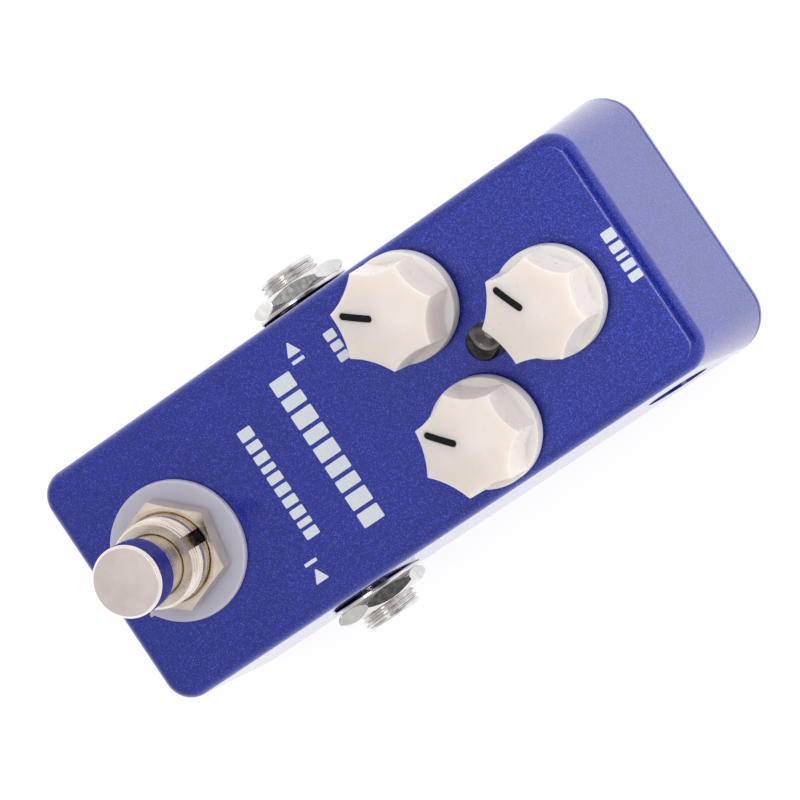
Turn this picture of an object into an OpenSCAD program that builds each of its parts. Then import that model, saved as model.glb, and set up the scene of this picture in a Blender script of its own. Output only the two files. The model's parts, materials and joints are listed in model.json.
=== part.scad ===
// Compact guitar effects pedal: die-cast box, three knobs, foot switch, two 6.35 mm jacks, DC socket.
// Millimetres. Origin: centre of the footprint on the resting plane, +Z up.
// +Y points to the knob end, +X to the side with the input jack and the DC socket.

/* [Enclosure] */
// Length of the box at its open edge
body_l = 93.5; // [93:0.1:96]
// Width of the box at its open edge
body_w = 39; // [38.8:0.1:40]
// Height of the cast shell without the bottom plate
shell_h = 24.7; // [24.6:0.1:25.5]
// How far each side leans in between the open edge and the top panel
draft = 1.55; // [1.3:0.05:1.6]
// Plan radius of the vertical corners at the open edge
corner_r = 5.4; // [5:0.1:6]
// Radius of the rounded edge around the top panel
edge_r = 1.7; // [1:0.1:2]
// Thickness of the side walls
wall = 1.8; // [1.6:0.1:1.9]
// Thickness of the top panel
panel_t = 2; // [1.8:0.1:2]

/* [Base] */
// Thickness of the bottom plate
plate_t = 1.2; // [1:0.1:1.5]
// Height of the rubber feet
foot_h = 1.6; // [1:0.1:2.5]
// Radius of the rubber feet
foot_r = 4; // [3:0.5:5]

/* [Foot switch] */
// Distance of the switch axis from the middle of the box, towards the near end
switch_offset = 31.9; // [31.8:0.1:32.2]
// Height of the pressed face above the top panel
button_h = 19.5; // [19:0.1:20]
// Radius of the metal button cap
button_r = 4.9; // [4.8:0.1:5.2]
// Height of the metal button cap
button_cap_h = 4.7; // [4:0.1:5]
// How far the button travels
button_travel = 3; // [2:0.1:3]
// Height of the threaded bushing above the top panel
bushing_h = 10; // [9:0.1:10.5]
// Radius of the nylon washer
nylon_washer_r = 9.7; // [9:0.1:10]
// Width across flats of the outer nut
switch_nut_af = 13.6; // [13.4:0.1:14]

/* [Knobs] */
// Distance of the two lower knobs from the centre line
knob_pair_x = 9.7; // [9.6:0.05:9.9]
// Position of the two lower knobs along the box
knob_pair_y = 14.5; // [14.2:0.1:14.6]
// Position of the upper knob along the box
knob_top_y = 31.7; // [31.4:0.1:32]
// Sideways offset of the upper knob
knob_top_x = 0.4; // [0:0.1:0.5]
// Radius of the knob skirt
skirt_r = 7.4; // [7.3:0.05:7.5]
// Radius of the tips of the seven-pointed grip
tip_r = 7.1; // [6.9:0.05:7.2]
// Height of the middle of the knob's domed face above the panel
knob_h = 11.6; // [11.4:0.1:12]
// How far the domed face falls from its middle to the tips of the grip
knob_crown = 1.5; // [1.2:0.1:1.6]
// Gap between the skirt and the panel
knob_gap = 0.7; // [0.5:0.1:0.8]

/* [Jacks] */
// Height of the jack and socket axes above the bottom of the box
port_h = 12; // [11.9:0.1:12.1]
// Position of the output jack along the box
output_y = -2.5; // [-2.7:0.1:-2.4]
// Position of the input jack along the box
input_y = -17.1; // [-17.2:0.1:-17]
// Radius of the jack's threaded sleeve
sleeve_r = 4.2; // [4.1:0.1:4.4]
// Radius of the bore that takes the plug
plug_r = 3.25; // [3.2:0.05:3.3]
// Distance of the sleeve's end from the centre line
sleeve_end = 23.5; // [23:0.1:24]
// Width across flats of the jack nuts
jack_nut_af = 12.2; // [11:0.1:12.4]
// Position of the DC socket along the box
dc_y = 34.4; // [34.2:0.1:34.6]

/* [Indicator] */
// Position of the indicator lamp along the box
lamp_y = 21.3; // [21:0.1:21.4]
// Radius of the indicator lamp
lamp_r = 2.5; // [2.4:0.1:2.5]

/* [Hidden] */

$fn = 64;
hull_fn = 32;   // facets of the round corners inside a hull
eps = 0.01;     // overshoot of a cutting solid on a face that it shares
over = 1;       // how far a cutter for a hole stands proud of the faces
loose = 0.1;    // clearance round a part in its hole, on the radius

// Levels above the resting plane
plate_z = foot_h;
shell_z = plate_z + plate_t;
panel_z = shell_z + shell_h;
ceiling_z = panel_z - panel_t;
port_z = plate_z + port_h;

// Corner screws
boss_r = 2.8;
boss_inset = 4.8;
boss_x = body_w / 2 - boss_inset;
boss_y = body_l / 2 - boss_inset;
screw_r = 1.5;
screw_head_r = 2.8;
screw_l = 8;
screw_clear = 0.05;

// Foot switch
switch_y = -switch_offset;
bushing_r = 6;
washer_bore_r = 6.15;
neck_r = 4.2;
neck_bore_r = 4.25;
spigot_r = 3;            // top of the plunger that the cap is pressed on
spigot_h = 3;
inner_nut_room = 3.8;    // from the switch flange up to the underside of the panel
switch_flange_t = 0.7;
switch_flange_z = ceiling_z - inner_nut_room;
housing_w = 17.4;
housing_h = 12;
housing_z = switch_flange_z - housing_h;
nylon_washer_t = 1.2;
lock_washer_t = 0.6;
lock_washer_r = 6.6;
switch_nut_t = 3;
switch_nut_turn = 48;
chamber_r = 5.3;
stop_r = 5.1;
stop_t = 1.6;
pressed_spring_h = 2.6;
chamber_h = stop_t + button_travel + pressed_spring_h;
stop_z = switch_flange_z - stop_t;
spring_z = switch_flange_z - chamber_h;
lug_pitch = 4.8;
lug_w = 2;
lug_t = 0.8;
lug_l = 4;
small_board_t = 1.2;
small_board_drop = 3.2;
small_board_z = housing_z - small_board_drop;

// Main board, hanging from the panel under the potentiometers
pot_h = 6.8;
board_t = 1.6;
board_z = ceiling_z - pot_h - board_t;
board_top = board_z + board_t;
board_x = 15.6;
board_near_y = 5.4;
board_far_y = 43;

// Potentiometers: axis positions of the left, right and upper one
POTS = [[-knob_pair_x, knob_pair_y], [knob_pair_x, knob_pair_y], [knob_top_x, knob_top_y]];
// Directions in which the three knob pointers look at rest, from +X towards +Y
POINTERS = [234.5, 224.5, 204.6];
pot_w = 9.8;
pot_d = 11.2;
pot_bushing_r = 3.5;
pot_bushing_top = panel_z + 3;
pot_nut_af = 9.5;
pot_nut_t = 2;
pot_washer_r = 5.2;
pot_washer_t = 0.4;
shaft_r = 3;
shaft_bore_r = 3.05;
rotor_r = 4.2;
rotor_t = 1;
rotor_lift = 1.4;
rotor_z = board_top + rotor_lift;
leg_r = 0.4;
leg_t = 0.8;
leg_reach = 0.9;         // how far the legs stand off the body
leg_pitch = 2.5;

// Knobs
knob_z = panel_z + knob_gap;
knob_top_z = panel_z + knob_h;
tip_z = knob_top_z - knob_crown;
dome_r = (pow(tip_r, 2) + pow(knob_crown, 2)) / (2 * knob_crown);
dome_z = knob_top_z - dome_r;
knob_points = 7;
skirt_t = 1.9;
tip_land = 0.9;          // width of the blunt end of each point
flute_depth = 0.5;       // how far a flute is hollowed between two points
flute_floor = 3.6;       // where the flutes end, from the knob's underside
flute_half = tip_r * sin(180 / knob_points) - tip_land / 2;
flute_r = (pow(flute_half, 2) + pow(flute_depth, 2)) / (2 * flute_depth);
flute_x = tip_r * cos(180 / knob_points) - flute_depth + flute_r;
recess_r = 5.75;         // hollow under the knob that clears the nut
recess_h = 2.7;
pointer_w = 0.95;
pointer_from = 1;
pointer_to = 5.7;
groove_depth = 0.5;
pointer_t = 0.4;
shaft_cover = 1.6;       // plastic between the shaft's end and the plane of the tips
shaft_top = tip_z - shaft_cover;

// Indicator lamp
lamp_flange_r = lamp_r + 0.4;
lamp_flange_t = 1.1;
lamp_z = ceiling_z - lamp_flange_t;
lamp_stand = 2;          // where the dome starts, above the panel
lead_x = 1.27;
lead_r = 0.25;
solder_h = 0.8;          // how far legs and leads stick out under the board

// Jacks
jack_face = 16.4;        // outer face of the plastic body, from the centre line
jack_w = 11;
jack_flange_r = 5.2;
jack_flange_t = 1;
contact_w = 2.2;
lug_out = 3;             // length of the lugs behind the body
flange_z = jack_face - 2 * jack_flange_t;
washer_face = 18.7;      // plane that the wall is spot-faced to, from the centre line
jack_washer_t = 0.55;
jack_washer_r = 6.7;
jack_nut_t = 2;
output_nut_turn = 17;    // how far each nut's upper flat is turned towards the knobs
input_nut_turn = 33;
plug_l = 31.75;          // length of a 6.35 mm plug
jack_end = sleeve_end - plug_l - 1;

// DC socket
dc_r = 4.4;
dc_bore_r = 3.2;
dc_pin_r = 1.05;
dc_bore_end = 8.5;       // floor of the bore, from the centre line
dc_pin_root = 4;         // depth of the pin's seat below that floor
dc_pin_l = 11.9;
dc_body_face = 16.4;
dc_face = 18.3;
dc_l = 15;
dc_w = 9;

// ---- shared shapes ----

// Plan outline of the box, drawn in by `inset`, as a thin layer at height z
module box_layer(z, inset) {
    r = corner_r - inset;
    translate([0, 0, z])
        linear_extrude(eps)
            for (sx = [-1, 1], sy = [-1, 1])
                translate([sx * (body_w / 2 - corner_r), sy * (body_l / 2 - corner_r)])
                    circle(r, $fn = hull_fn);
}

module hexagon(af, h) {
    cylinder(r = af / sqrt(3), h = h, $fn = 6);
}

module tube(r_out, r_in, h) {
    difference() {
        cylinder(r = r_out, h = h);
        translate([0, 0, -eps]) cylinder(r = r_in, h = h + 2 * eps);
    }
}

// Box centred in x and y, from z = 0 up
module block(w, d, h) {
    translate([-w / 2, -d / 2, 0]) cube([w, d, h]);
}

// Puts its children on a port axis, local +Z pointing out of side sx
module port(sx, y) {
    translate([0, y, port_z]) rotate([0, sx * 90, 0]) children();
}

module at_corners(x, y) {
    for (sx = [-1, 1], sy = [-1, 1]) translate([sx * x, sy * y, 0]) children();
}

module at_pots() {
    for (p = POTS) translate([p[0], p[1], 0]) children();
}

module at_switch() {
    translate([0, switch_y, 0]) children();
}

// Round wire through a list of points
module wire(points, r) {
    for (i = [0 : len(points) - 2]) {
        a = points[i];
        d = points[i + 1] - a;
        l = norm(d);
        translate(a)
            rotate([0, acos(d[2] / l), atan2(d[1], d[0])])
                cylinder(r = r, h = l, $fn = 20);
    }
    for (i = [1 : len(points) - 2]) translate(points[i]) sphere(r, $fn = 20);
}

// ---- enclosure ----

module shell_outside() {
    hull() {
        box_layer(shell_z, 0);
        for (a = [0, 30, 60, 90])
            box_layer(panel_z - edge_r + edge_r * sin(a) - eps,
                      draft + edge_r * (1 - cos(a)));
    }
}

module shell_inside() {
    hull() {
        box_layer(shell_z - eps, wall);
        box_layer(ceiling_z - eps, wall + draft);
    }
}

// Cutter for a round hole through a leaning side wall, from inside the wall's foot outwards
module side_hole(r) {
    cut_l = 3 * (wall + draft);
    translate([0, 0, body_w / 2 - cut_l / 2]) cylinder(r = r, h = cut_l);
}

// Hole for a jack's sleeve, spot-faced outside so that the washer sits flat on the leaning wall
module jack_hole() {
    side_hole(sleeve_r + loose);
    translate([0, 0, washer_face]) cylinder(r = jack_washer_r + 2 * loose, h = wall + draft);
}

// Cutter for a round hole through the panel
module panel_hole(r) {
    translate([0, 0, ceiling_z - over]) cylinder(r = r, h = panel_t + 2 * over);
}

module enclosure_shell() {
    color([0.09, 0.1, 0.5])
    difference() {
        union() {
            difference() {
                shell_outside();
                shell_inside();
            }
            at_corners(boss_x, boss_y)
                translate([0, 0, shell_z]) cylinder(r = boss_r, h = ceiling_z - shell_z + eps);
        }
        at_corners(boss_x, boss_y)
            translate([0, 0, shell_z - over]) cylinder(r = screw_r, h = screw_l);
        at_switch() panel_hole(bushing_r + loose);
        at_pots() panel_hole(pot_bushing_r + loose);
        translate([0, lamp_y, 0]) panel_hole(lamp_r + loose / 2);
        port(1, input_y) jack_hole();
        port(-1, output_y) jack_hole();
        port(1, dc_y) side_hole(dc_r + loose);
    }
}

module bottom_plate() {
    color([0.09, 0.1, 0.5])
    difference() {
        translate([0, 0, plate_z])
            linear_extrude(plate_t) {
                square([body_w, body_l - 2 * corner_r], center = true);
                square([body_w - 2 * corner_r, body_l], center = true);
                at_corners(body_w / 2 - corner_r, body_l / 2 - corner_r) circle(corner_r);
            }
        at_corners(boss_x, boss_y) {
            translate([0, 0, plate_z - eps]) cylinder(r = screw_r + loose, h = plate_t + over);
            translate([0, 0, plate_z - eps])
                cylinder(r1 = screw_head_r, r2 = screw_r, h = plate_t + 2 * eps);
        }
    }
}

module plate_screws() {
    recess_w = 0.6;
    recess_l = 3.2;
    color("silver")
    at_corners(boss_x, boss_y)
        translate([0, 0, plate_z])
            difference() {
                union() {
                    cylinder(r1 = screw_head_r - screw_clear, r2 = screw_r - screw_clear, h = plate_t);
                    cylinder(r = screw_r - screw_clear, h = screw_l - over);
                }
                // cross recess
                translate([0, 0, -eps]) block(recess_w, recess_l, recess_w);
                translate([0, 0, -eps]) block(recess_l, recess_w, recess_w);
            }
}

module rubber_feet() {
    foot_inset_x = 7;
    foot_inset_y = 15;
    color([0.06, 0.06, 0.06])
    at_corners(body_w / 2 - foot_inset_x, body_l / 2 - foot_inset_y) cylinder(r = foot_r, h = foot_h);
}

// ---- foot switch ----

module footswitch_nylon_washer() {
    color([0.75, 0.75, 0.82])
    at_switch() translate([0, 0, panel_z]) tube(nylon_washer_r, washer_bore_r, nylon_washer_t);
}

module footswitch_lock_washer() {
    color("silver")
    at_switch()
        translate([0, 0, panel_z + nylon_washer_t])
            tube(lock_washer_r, washer_bore_r, lock_washer_t);
}

module footswitch_nut() {
    nut_z = panel_z + nylon_washer_t + lock_washer_t;
    color([0.8, 0.76, 0.7])
    at_switch()
        translate([0, 0, nut_z])
            difference() {
                rotate(switch_nut_turn) hexagon(switch_nut_af, switch_nut_t);
                translate([0, 0, -1]) cylinder(r = bushing_r, h = switch_nut_t + 2);
            }
}

module footswitch_bushing() {
    slot_w = 2;
    slot_depth = 1.1;
    color([0.8, 0.77, 0.72])
    at_switch()
        difference() {
            union() {
                translate([0, 0, switch_flange_z])
                    cylinder(r = bushing_r, h = panel_z + bushing_h - switch_flange_z);
                translate([0, 0, switch_flange_z]) block(housing_w, housing_w, switch_flange_t);
            }
            translate([0, 0, switch_flange_z - 1]) cylinder(r = neck_bore_r, h = 30);
            // keyway on the side towards the knobs
            translate([-slot_w / 2, bushing_r - slot_depth, panel_z - panel_t])
                cube([slot_w, slot_depth + 1, bushing_h + panel_t + 1]);
        }
}

module footswitch_inner_nut() {
    inner_nut_af = 14;
    inner_nut_t = 2;
    color("silver")
    at_switch()
        translate([0, 0, ceiling_z - inner_nut_t])
            difference() {
                hexagon(inner_nut_af, inner_nut_t);
                translate([0, 0, -1]) cylinder(r = bushing_r, h = inner_nut_t + 2);
            }
}

module footswitch_housing() {
    color([0.1, 0.25, 0.6])
    at_switch()
        difference() {
            translate([0, 0, housing_z]) block(housing_w, housing_w, housing_h);
            translate([0, 0, spring_z]) cylinder(r = chamber_r, h = chamber_h + 1);
        }
}

// Places a child at each of the nine terminals
module at_lugs() {
    at_switch()
        for (i = [-1 : 1], j = [-1 : 1])
            translate([i * lug_pitch, j * lug_pitch, 0]) children();
}

module footswitch_lugs() {
    color([0.85, 0.75, 0.45])
    at_lugs() translate([0, 0, housing_z - lug_l]) block(lug_w, lug_t, lug_l);
}

module footswitch_board() {
    color([0.1, 0.4, 0.2])
    difference() {
        at_switch() translate([0, 0, small_board_z]) block(housing_w, housing_w, small_board_t);
        at_lugs()
            translate([0, 0, small_board_z - over])
                block(lug_w + 2 * loose, lug_t + 2 * loose, small_board_t + 2 * over);
    }
}

module footswitch_plunger() {
    cap_z = panel_z + button_h - button_cap_h;
    color([0.75, 0.72, 0.68])
    at_switch() {
        translate([0, 0, stop_z]) cylinder(r = stop_r, h = stop_t);
        translate([0, 0, stop_z]) cylinder(r = neck_r, h = cap_z - stop_z);
        translate([0, 0, cap_z]) cylinder(r = spigot_r, h = spigot_h);
    }
}

module footswitch_cap() {
    color([0.85, 0.84, 0.83])
    at_switch()
        translate([0, 0, panel_z + button_h - button_cap_h])
            difference() {
                cylinder(r = button_r, h = button_cap_h);
                translate([0, 0, -eps]) cylinder(r = spigot_r, h = spigot_h + eps);
            }
}

// Helical spring: rings of points square to the coil, joined into one skin
module coil(r, wire_r, turns, h) {
    steps = turns * 16;
    sides = 8;
    points = [
        for (i = [0 : steps], k = [0 : sides - 1])
            let (a = 360 * turns * i / steps, b = 360 * k / sides)
            [(r + wire_r * cos(b)) * cos(a), (r + wire_r * cos(b)) * sin(a),
             h * i / steps + wire_r * sin(b)]
    ];
    ends = [
        [for (k = [0 : sides - 1]) k],
        [for (k = [sides - 1 : -1 : 0]) steps * sides + k]
    ];
    skin = [
        for (i = [0 : steps - 1], k = [0 : sides - 1])
            let (n = (k + 1) % sides)
            [i * sides + k, (i + 1) * sides + k, (i + 1) * sides + n, i * sides + n]
    ];
    polyhedron(points, concat(ends, skin));
}

module footswitch_spring() {
    wire_r = 0.28;
    clear = 0.05;
    coil_r = 4.1;
    turns = 4;
    color("gray")
    at_switch()
        translate([0, 0, spring_z + wire_r + clear])
            coil(coil_r, wire_r, turns, stop_z - spring_z - 2 * (wire_r + clear));
}

// ---- circuit board, potentiometers and knobs ----

// Places a child at each potentiometer leg
module at_legs() {
    at_pots()
        for (i = [-1 : 1])
            translate([i * leg_pitch, -pot_d / 2 - leg_reach, 0]) children();
}

// Cutter for a round hole through the main board
module board_hole(r) {
    translate([0, 0, board_z - over]) cylinder(r = r, h = board_t + 2 * over);
}

module main_board() {
    color([0.1, 0.4, 0.2])
    difference() {
        translate([-board_x, board_near_y, board_z])
            cube([2 * board_x, board_far_y - board_near_y, board_t]);
        at_corners(boss_x, boss_y) board_hole(boss_r + 4 * loose);
        at_legs() board_hole(leg_r + loose);
        for (s = [-1, 1]) translate([s * lead_x, lamp_y, 0]) board_hole(lead_r + loose);
    }
}

module potentiometer(p) {
    rotor_clear = 0.2;
    rotor_room_h = 3;
    color([0.7, 0.7, 0.7])
    translate([p[0], p[1], 0])
        difference() {
            union() {
                translate([0, 0, board_top]) block(pot_w, pot_d, ceiling_z - board_top);
                translate([0, 0, ceiling_z])
                    cylinder(r = pot_bushing_r, h = pot_bushing_top - ceiling_z);
            }
            translate([0, 0, rotor_z - rotor_clear])
                cylinder(r = rotor_r + rotor_clear, h = rotor_room_h);
            translate([0, 0, rotor_z]) cylinder(r = shaft_bore_r, h = shaft_top - rotor_z);
        }
}

module potentiometer_left() { potentiometer(POTS[0]); }
module potentiometer_right() { potentiometer(POTS[1]); }
module potentiometer_top() { potentiometer(POTS[2]); }

// Each leg leaves the body sideways and turns down through the board
module pot_legs() {
    color([0.85, 0.8, 0.65])
    at_legs() {
        translate([0, 0, board_z - solder_h]) cylinder(r = leg_r, h = board_t + 2 * solder_h + leg_t);
        translate([-leg_r, 0, board_top + solder_h]) cube([2 * leg_r, leg_reach, leg_t]);
    }
}

module pot_washers() {
    color("silver")
    at_pots() translate([0, 0, panel_z]) tube(pot_washer_r, pot_bushing_r + loose, pot_washer_t);
}

module pot_nuts() {
    color("silver")
    at_pots()
        translate([0, 0, panel_z + pot_washer_t])
            difference() {
                hexagon(pot_nut_af, pot_nut_t);
                translate([0, 0, -1]) cylinder(r = pot_bushing_r, h = pot_nut_t + 2);
            }
}

module pot_shaft(p) {
    color([0.8, 0.8, 0.8])
    translate([p[0], p[1], 0]) {
        translate([0, 0, rotor_z]) cylinder(r = rotor_r, h = rotor_t);
        translate([0, 0, rotor_z]) cylinder(r = shaft_r, h = shaft_top - rotor_z);
    }
}

module pot_shaft_left() { pot_shaft(POTS[0]); }
module pot_shaft_right() { pot_shaft(POTS[1]); }
module pot_shaft_top() { pot_shaft(POTS[2]); }

// Slot with round ends along the pointer, from the groove's floor under the dome up to a cover
module pointer_slot() {
    half = pointer_w / 2;
    length = pointer_to - pointer_from - pointer_w;
    h = knob_crown + 1;
    difference() {
        translate([pointer_from + half, 0, knob_top_z - h]) {
            translate([0, -half, 0]) cube([length, pointer_w, h + 1]);
            for (x = [0, length]) translate([x, 0, 0]) cylinder(r = half, h = h + 1);
        }
        translate([0, 0, dome_z]) sphere(dome_r - groove_depth);
    }
}

// Seven-pointed grip with a domed face, leaning in from the skirt to its tips
module knob_grip() {
    base_z = knob_z + skirt_t;
    lean = (skirt_r - tip_r) / (tip_z - base_z);
    grip_h = knob_top_z - base_z;
    difference() {
        intersection() {
            translate([0, 0, base_z]) cylinder(r1 = skirt_r, r2 = skirt_r - lean * grip_h, h = grip_h);
            translate([0, 0, dome_z]) sphere(dome_r);
        }
        for (i = [0 : knob_points - 1])
            rotate((i + 0.5) * 360 / knob_points)
                translate([flute_x, 0, knob_z + flute_floor]) cylinder(r = flute_r, h = knob_h);
    }
}

// Grip on a round skirt, hollow underneath for the nut, with the pointer's groove in its face
module knob(p, pointer_angle) {
    color([0.93, 0.9, 0.84])
    translate([p[0], p[1], 0])
        rotate(pointer_angle)
            difference() {
                union() {
                    translate([0, 0, knob_z]) cylinder(r = skirt_r, h = skirt_t);
                    knob_grip();
                }
                translate([0, 0, knob_z - eps]) cylinder(r = recess_r, h = recess_h);
                translate([0, 0, knob_z]) cylinder(r = shaft_r, h = shaft_top - knob_z);
                pointer_slot();
            }
}

module knob_left() { knob(POTS[0], POINTERS[0]); }
module knob_right() { knob(POTS[1], POINTERS[1]); }
module knob_top() { knob(POTS[2], POINTERS[2]); }

module pointer(p, pointer_angle) {
    color([0.04, 0.04, 0.04])
    translate([p[0], p[1], 0])
        rotate(pointer_angle)
            intersection() {
                pointer_slot();
                translate([0, 0, dome_z]) sphere(dome_r - groove_depth + pointer_t);
            }
}

module pointer_left() { pointer(POTS[0], POINTERS[0]); }
module pointer_right() { pointer(POTS[1], POINTERS[1]); }
module pointer_top() { pointer(POTS[2], POINTERS[2]); }

// ---- indicator lamp ----

module lamp_lens() {
    dome_z = panel_z + lamp_stand;
    color([0.12, 0.12, 0.13])
    translate([0, lamp_y, 0]) {
        translate([0, 0, lamp_z]) cylinder(r = lamp_flange_r, h = lamp_flange_t);
        translate([0, 0, lamp_z]) cylinder(r = lamp_r, h = dome_z - lamp_z);
        translate([0, 0, dome_z]) sphere(lamp_r);
    }
}

module lamp_leads() {
    color("silver")
    for (s = [-1, 1])
        translate([s * lead_x, lamp_y, board_z - solder_h])
            cylinder(r = lead_r, h = lamp_z - board_z + solder_h);
}

// ---- small parts under the main board ----

CAPACITORS = [[-9, 37], [-9, 30.5], [-9, 24]];

module capacitors() {
    can_r = 2.5;
    can_h = 9;
    color([0.1, 0.1, 0.12])
    for (p = CAPACITORS) translate([p[0], p[1], board_z - can_h]) cylinder(r = can_r, h = can_h);
}

CHIPS = [[-9, 14], [9, 14]];

module chips() {
    chip_w = 6.4;
    chip_l = 9.8;
    chip_t = 3.4;
    stand = 0.8;         // gap between the chip and the board
    color([0.08, 0.08, 0.08])
    for (p = CHIPS) translate([p[0], p[1], board_z - stand - chip_t]) block(chip_w, chip_l, chip_t);
}

module chip_legs() {
    pitch = 2.54;
    row = 3.6;
    leg_w = 0.8;
    leg_side = 0.6;
    leg_l = 3;
    color("silver")
    for (p = CHIPS, s = [-1, 1], i = [-1.5 : 1.5])
        translate([p[0] + s * row, p[1] + i * pitch, board_z - leg_l]) block(leg_w, leg_side, leg_l);
}

module resistors() {
    first_y = 10;
    pitch = 3.5;
    resistor_r = 1.2;
    resistor_l = 6;
    color([0.85, 0.75, 0.55])
    for (i = [0 : 2])
        translate([-resistor_l / 2, first_y + i * pitch, board_z - resistor_r - loose])
            rotate([0, 90, 0]) cylinder(r = resistor_r, h = resistor_l);
}

// ---- jacks ----

module jack_sleeve(sx, y) {
    color([0.82, 0.81, 0.8])
    port(sx, y)
        difference() {
            union() {
                translate([0, 0, flange_z]) cylinder(r = sleeve_r, h = sleeve_end - flange_z);
                translate([0, 0, flange_z]) cylinder(r = jack_flange_r, h = jack_flange_t);
            }
            translate([0, 0, flange_z - over]) cylinder(r = plug_r, h = sleeve_end - flange_z + 2 * over);
        }
}

module jack_washer(sx, y) {
    color([0.55, 0.54, 0.52])
    port(sx, y) translate([0, 0, washer_face]) tube(jack_washer_r, sleeve_r + loose, jack_washer_t);
}

module jack_nut(sx, y, turn) {
    color([0.82, 0.8, 0.78])
    port(sx, y)
        translate([0, 0, washer_face + jack_washer_t])
            difference() {
                rotate(30 - sx * turn) hexagon(jack_nut_af, jack_nut_t);
                translate([0, 0, -over]) cylinder(r = sleeve_r, h = jack_nut_t + 2 * over);
            }
}

// Plastic body with the chamber for the plug; its front is stepped for the sleeve's flange
module jack_body(sx, y) {
    chamber_clear = 0.25;
    room_wall = 0.8;
    room_w = contact_w + 4 * loose;
    room_l = 10;
    color([0.07, 0.07, 0.08])
    port(sx, y)
        difference() {
            translate([0, 0, jack_end]) block(jack_w, jack_w, jack_face - jack_end);
            translate([0, 0, sleeve_end - plug_l]) cylinder(r = plug_r + chamber_clear, h = plug_l);
            translate([0, 0, flange_z]) cylinder(r = jack_flange_r, h = jack_flange_t);
            translate([0, 0, flange_z + jack_flange_t - eps])
                cylinder(r = sleeve_r, h = jack_flange_t + over);
            // room for the tip contact above the chamber
            translate([-jack_w / 2 + room_wall, -room_w / 2, jack_end - eps])
                cube([jack_w / 2 - 2, room_w, room_l]);
        }
}

// Tip contact spring inside the chamber and its lug, and the sleeve lug, at the body's inner end
module jack_contacts(sx, y) {
    contact_t = 0.4;
    contact_l = 9;
    inset = 1.1;         // from the body's side to the outer face of a lug
    bend_z = 4;
    bend_l = 1.8;        // how far the spring's bend reaches towards the plug
    color([0.85, 0.7, 0.4])
    port(sx, y)
        translate([0, -contact_w / 2, jack_end]) {
            translate([-jack_w / 2 + inset, 0, -lug_out]) cube([contact_t, contact_w, lug_out + contact_l]);
            translate([-jack_w / 2 + inset, 0, bend_z]) cube([bend_l, contact_w, contact_t]);
            translate([jack_w / 2 - inset - contact_t, 0, -lug_out]) cube([contact_t, contact_w, lug_out]);
        }
}

module output_jack_sleeve() { jack_sleeve(-1, output_y); }
module output_jack_washer() { jack_washer(-1, output_y); }
module output_jack_nut() { jack_nut(-1, output_y, output_nut_turn); }
module output_jack_body() { jack_body(-1, output_y); }
module output_jack_contacts() { jack_contacts(-1, output_y); }
module input_jack_sleeve() { jack_sleeve(1, input_y); }
module input_jack_washer() { jack_washer(1, input_y); }
module input_jack_nut() { jack_nut(1, input_y, input_nut_turn); }
module input_jack_body() { jack_body(1, input_y); }
module input_jack_contacts() { jack_contacts(1, input_y); }

// ---- DC socket ----

module dc_socket_body() {
    color([0.06, 0.06, 0.06])
    difference() {
        union() {
            translate([dc_body_face - dc_l, dc_y - dc_w / 2, port_z - dc_w / 2])
                cube([dc_l, dc_w, board_z - port_z + dc_w / 2]);
            port(1, dc_y)
                translate([0, 0, dc_body_face - eps])
                    cylinder(r = dc_r, h = dc_face - dc_body_face);
        }
        port(1, dc_y) {
            translate([0, 0, dc_bore_end]) cylinder(r = dc_bore_r, h = dc_face - dc_bore_end + over);
            translate([0, 0, dc_bore_end - dc_pin_root]) cylinder(r = dc_pin_r, h = dc_pin_root + over);
        }
    }
}

module dc_socket_pin() {
    color("silver")
    port(1, dc_y) translate([0, 0, dc_bore_end - dc_pin_root + loose]) {
        cylinder(r = dc_pin_r, h = dc_pin_l);
        translate([0, 0, dc_pin_l]) sphere(dc_pin_r);
    }
}

// Three solder tags behind and below the socket
module dc_socket_contacts() {
    tag_t = 0.4;
    tag_w = 1.8;
    tag_pitch = 3;
    tag_drop = 3;
    color([0.85, 0.8, 0.65])
    for (i = [-1 : 1])
        translate([dc_body_face - dc_l - tag_t, dc_y + i * tag_pitch - tag_w / 2, port_z - tag_drop])
            cube([tag_t, tag_w, board_z - port_z + tag_drop]);
}

// ---- wiring ----

// Six parallel wires under the jacks, from the switch board to the main board
module ribbon_cable() {
    pitch = 1.3;
    core_r = 0.55;
    floor_z = 4.4;
    start_y = switch_y + 8;
    end_y = board_near_y + 1.4;
    color([0.8, 0.8, 0.78])
    for (i = [-2.5 : 2.5])
        wire([[i * pitch, start_y, small_board_z],
              [i * pitch, start_y, floor_z],
              [i * pitch, end_y, floor_z],
              [i * pitch, end_y, board_z]], core_r);
}

// Two wires from each jack's lugs to the near edge of the main board. The output jack's wires
// end on the board's underside; the input jack's pass over the output jack to its top side.
module hookup_wires() {
    wire_r = 0.5;
    lug_end = lug_out - jack_end;
    lug_drop = jack_w / 2 - 1.3;
    out_run = 1.2;       // from the output lugs to where its wires turn
    in_run = 1.5;        // the same at the input lugs
    end_y = board_near_y + 1;
    over_z = 21.6;
    color([0.6, 0.1, 0.1])
    for (s = [-1, 1]) {
        out_x = lug_end + out_run + s * 0.6;
        in_x = -lug_end - in_run + s * 0.8;
        wire([[lug_end, output_y, port_z + s * lug_drop],
              [out_x, output_y, port_z + s * lug_drop],
              [out_x, output_y, port_z + s],
              [out_x, end_y, port_z + s],
              [out_x, end_y, board_z]], wire_r);
        wire([[-lug_end, input_y, port_z + s * lug_drop],
              [in_x, input_y, port_z + s * lug_drop],
              [in_x, input_y, over_z + s],
              [in_x, end_y, over_z + s],
              [in_x, end_y, board_top]], wire_r);
    }
}

// ---- drawing ----

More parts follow.
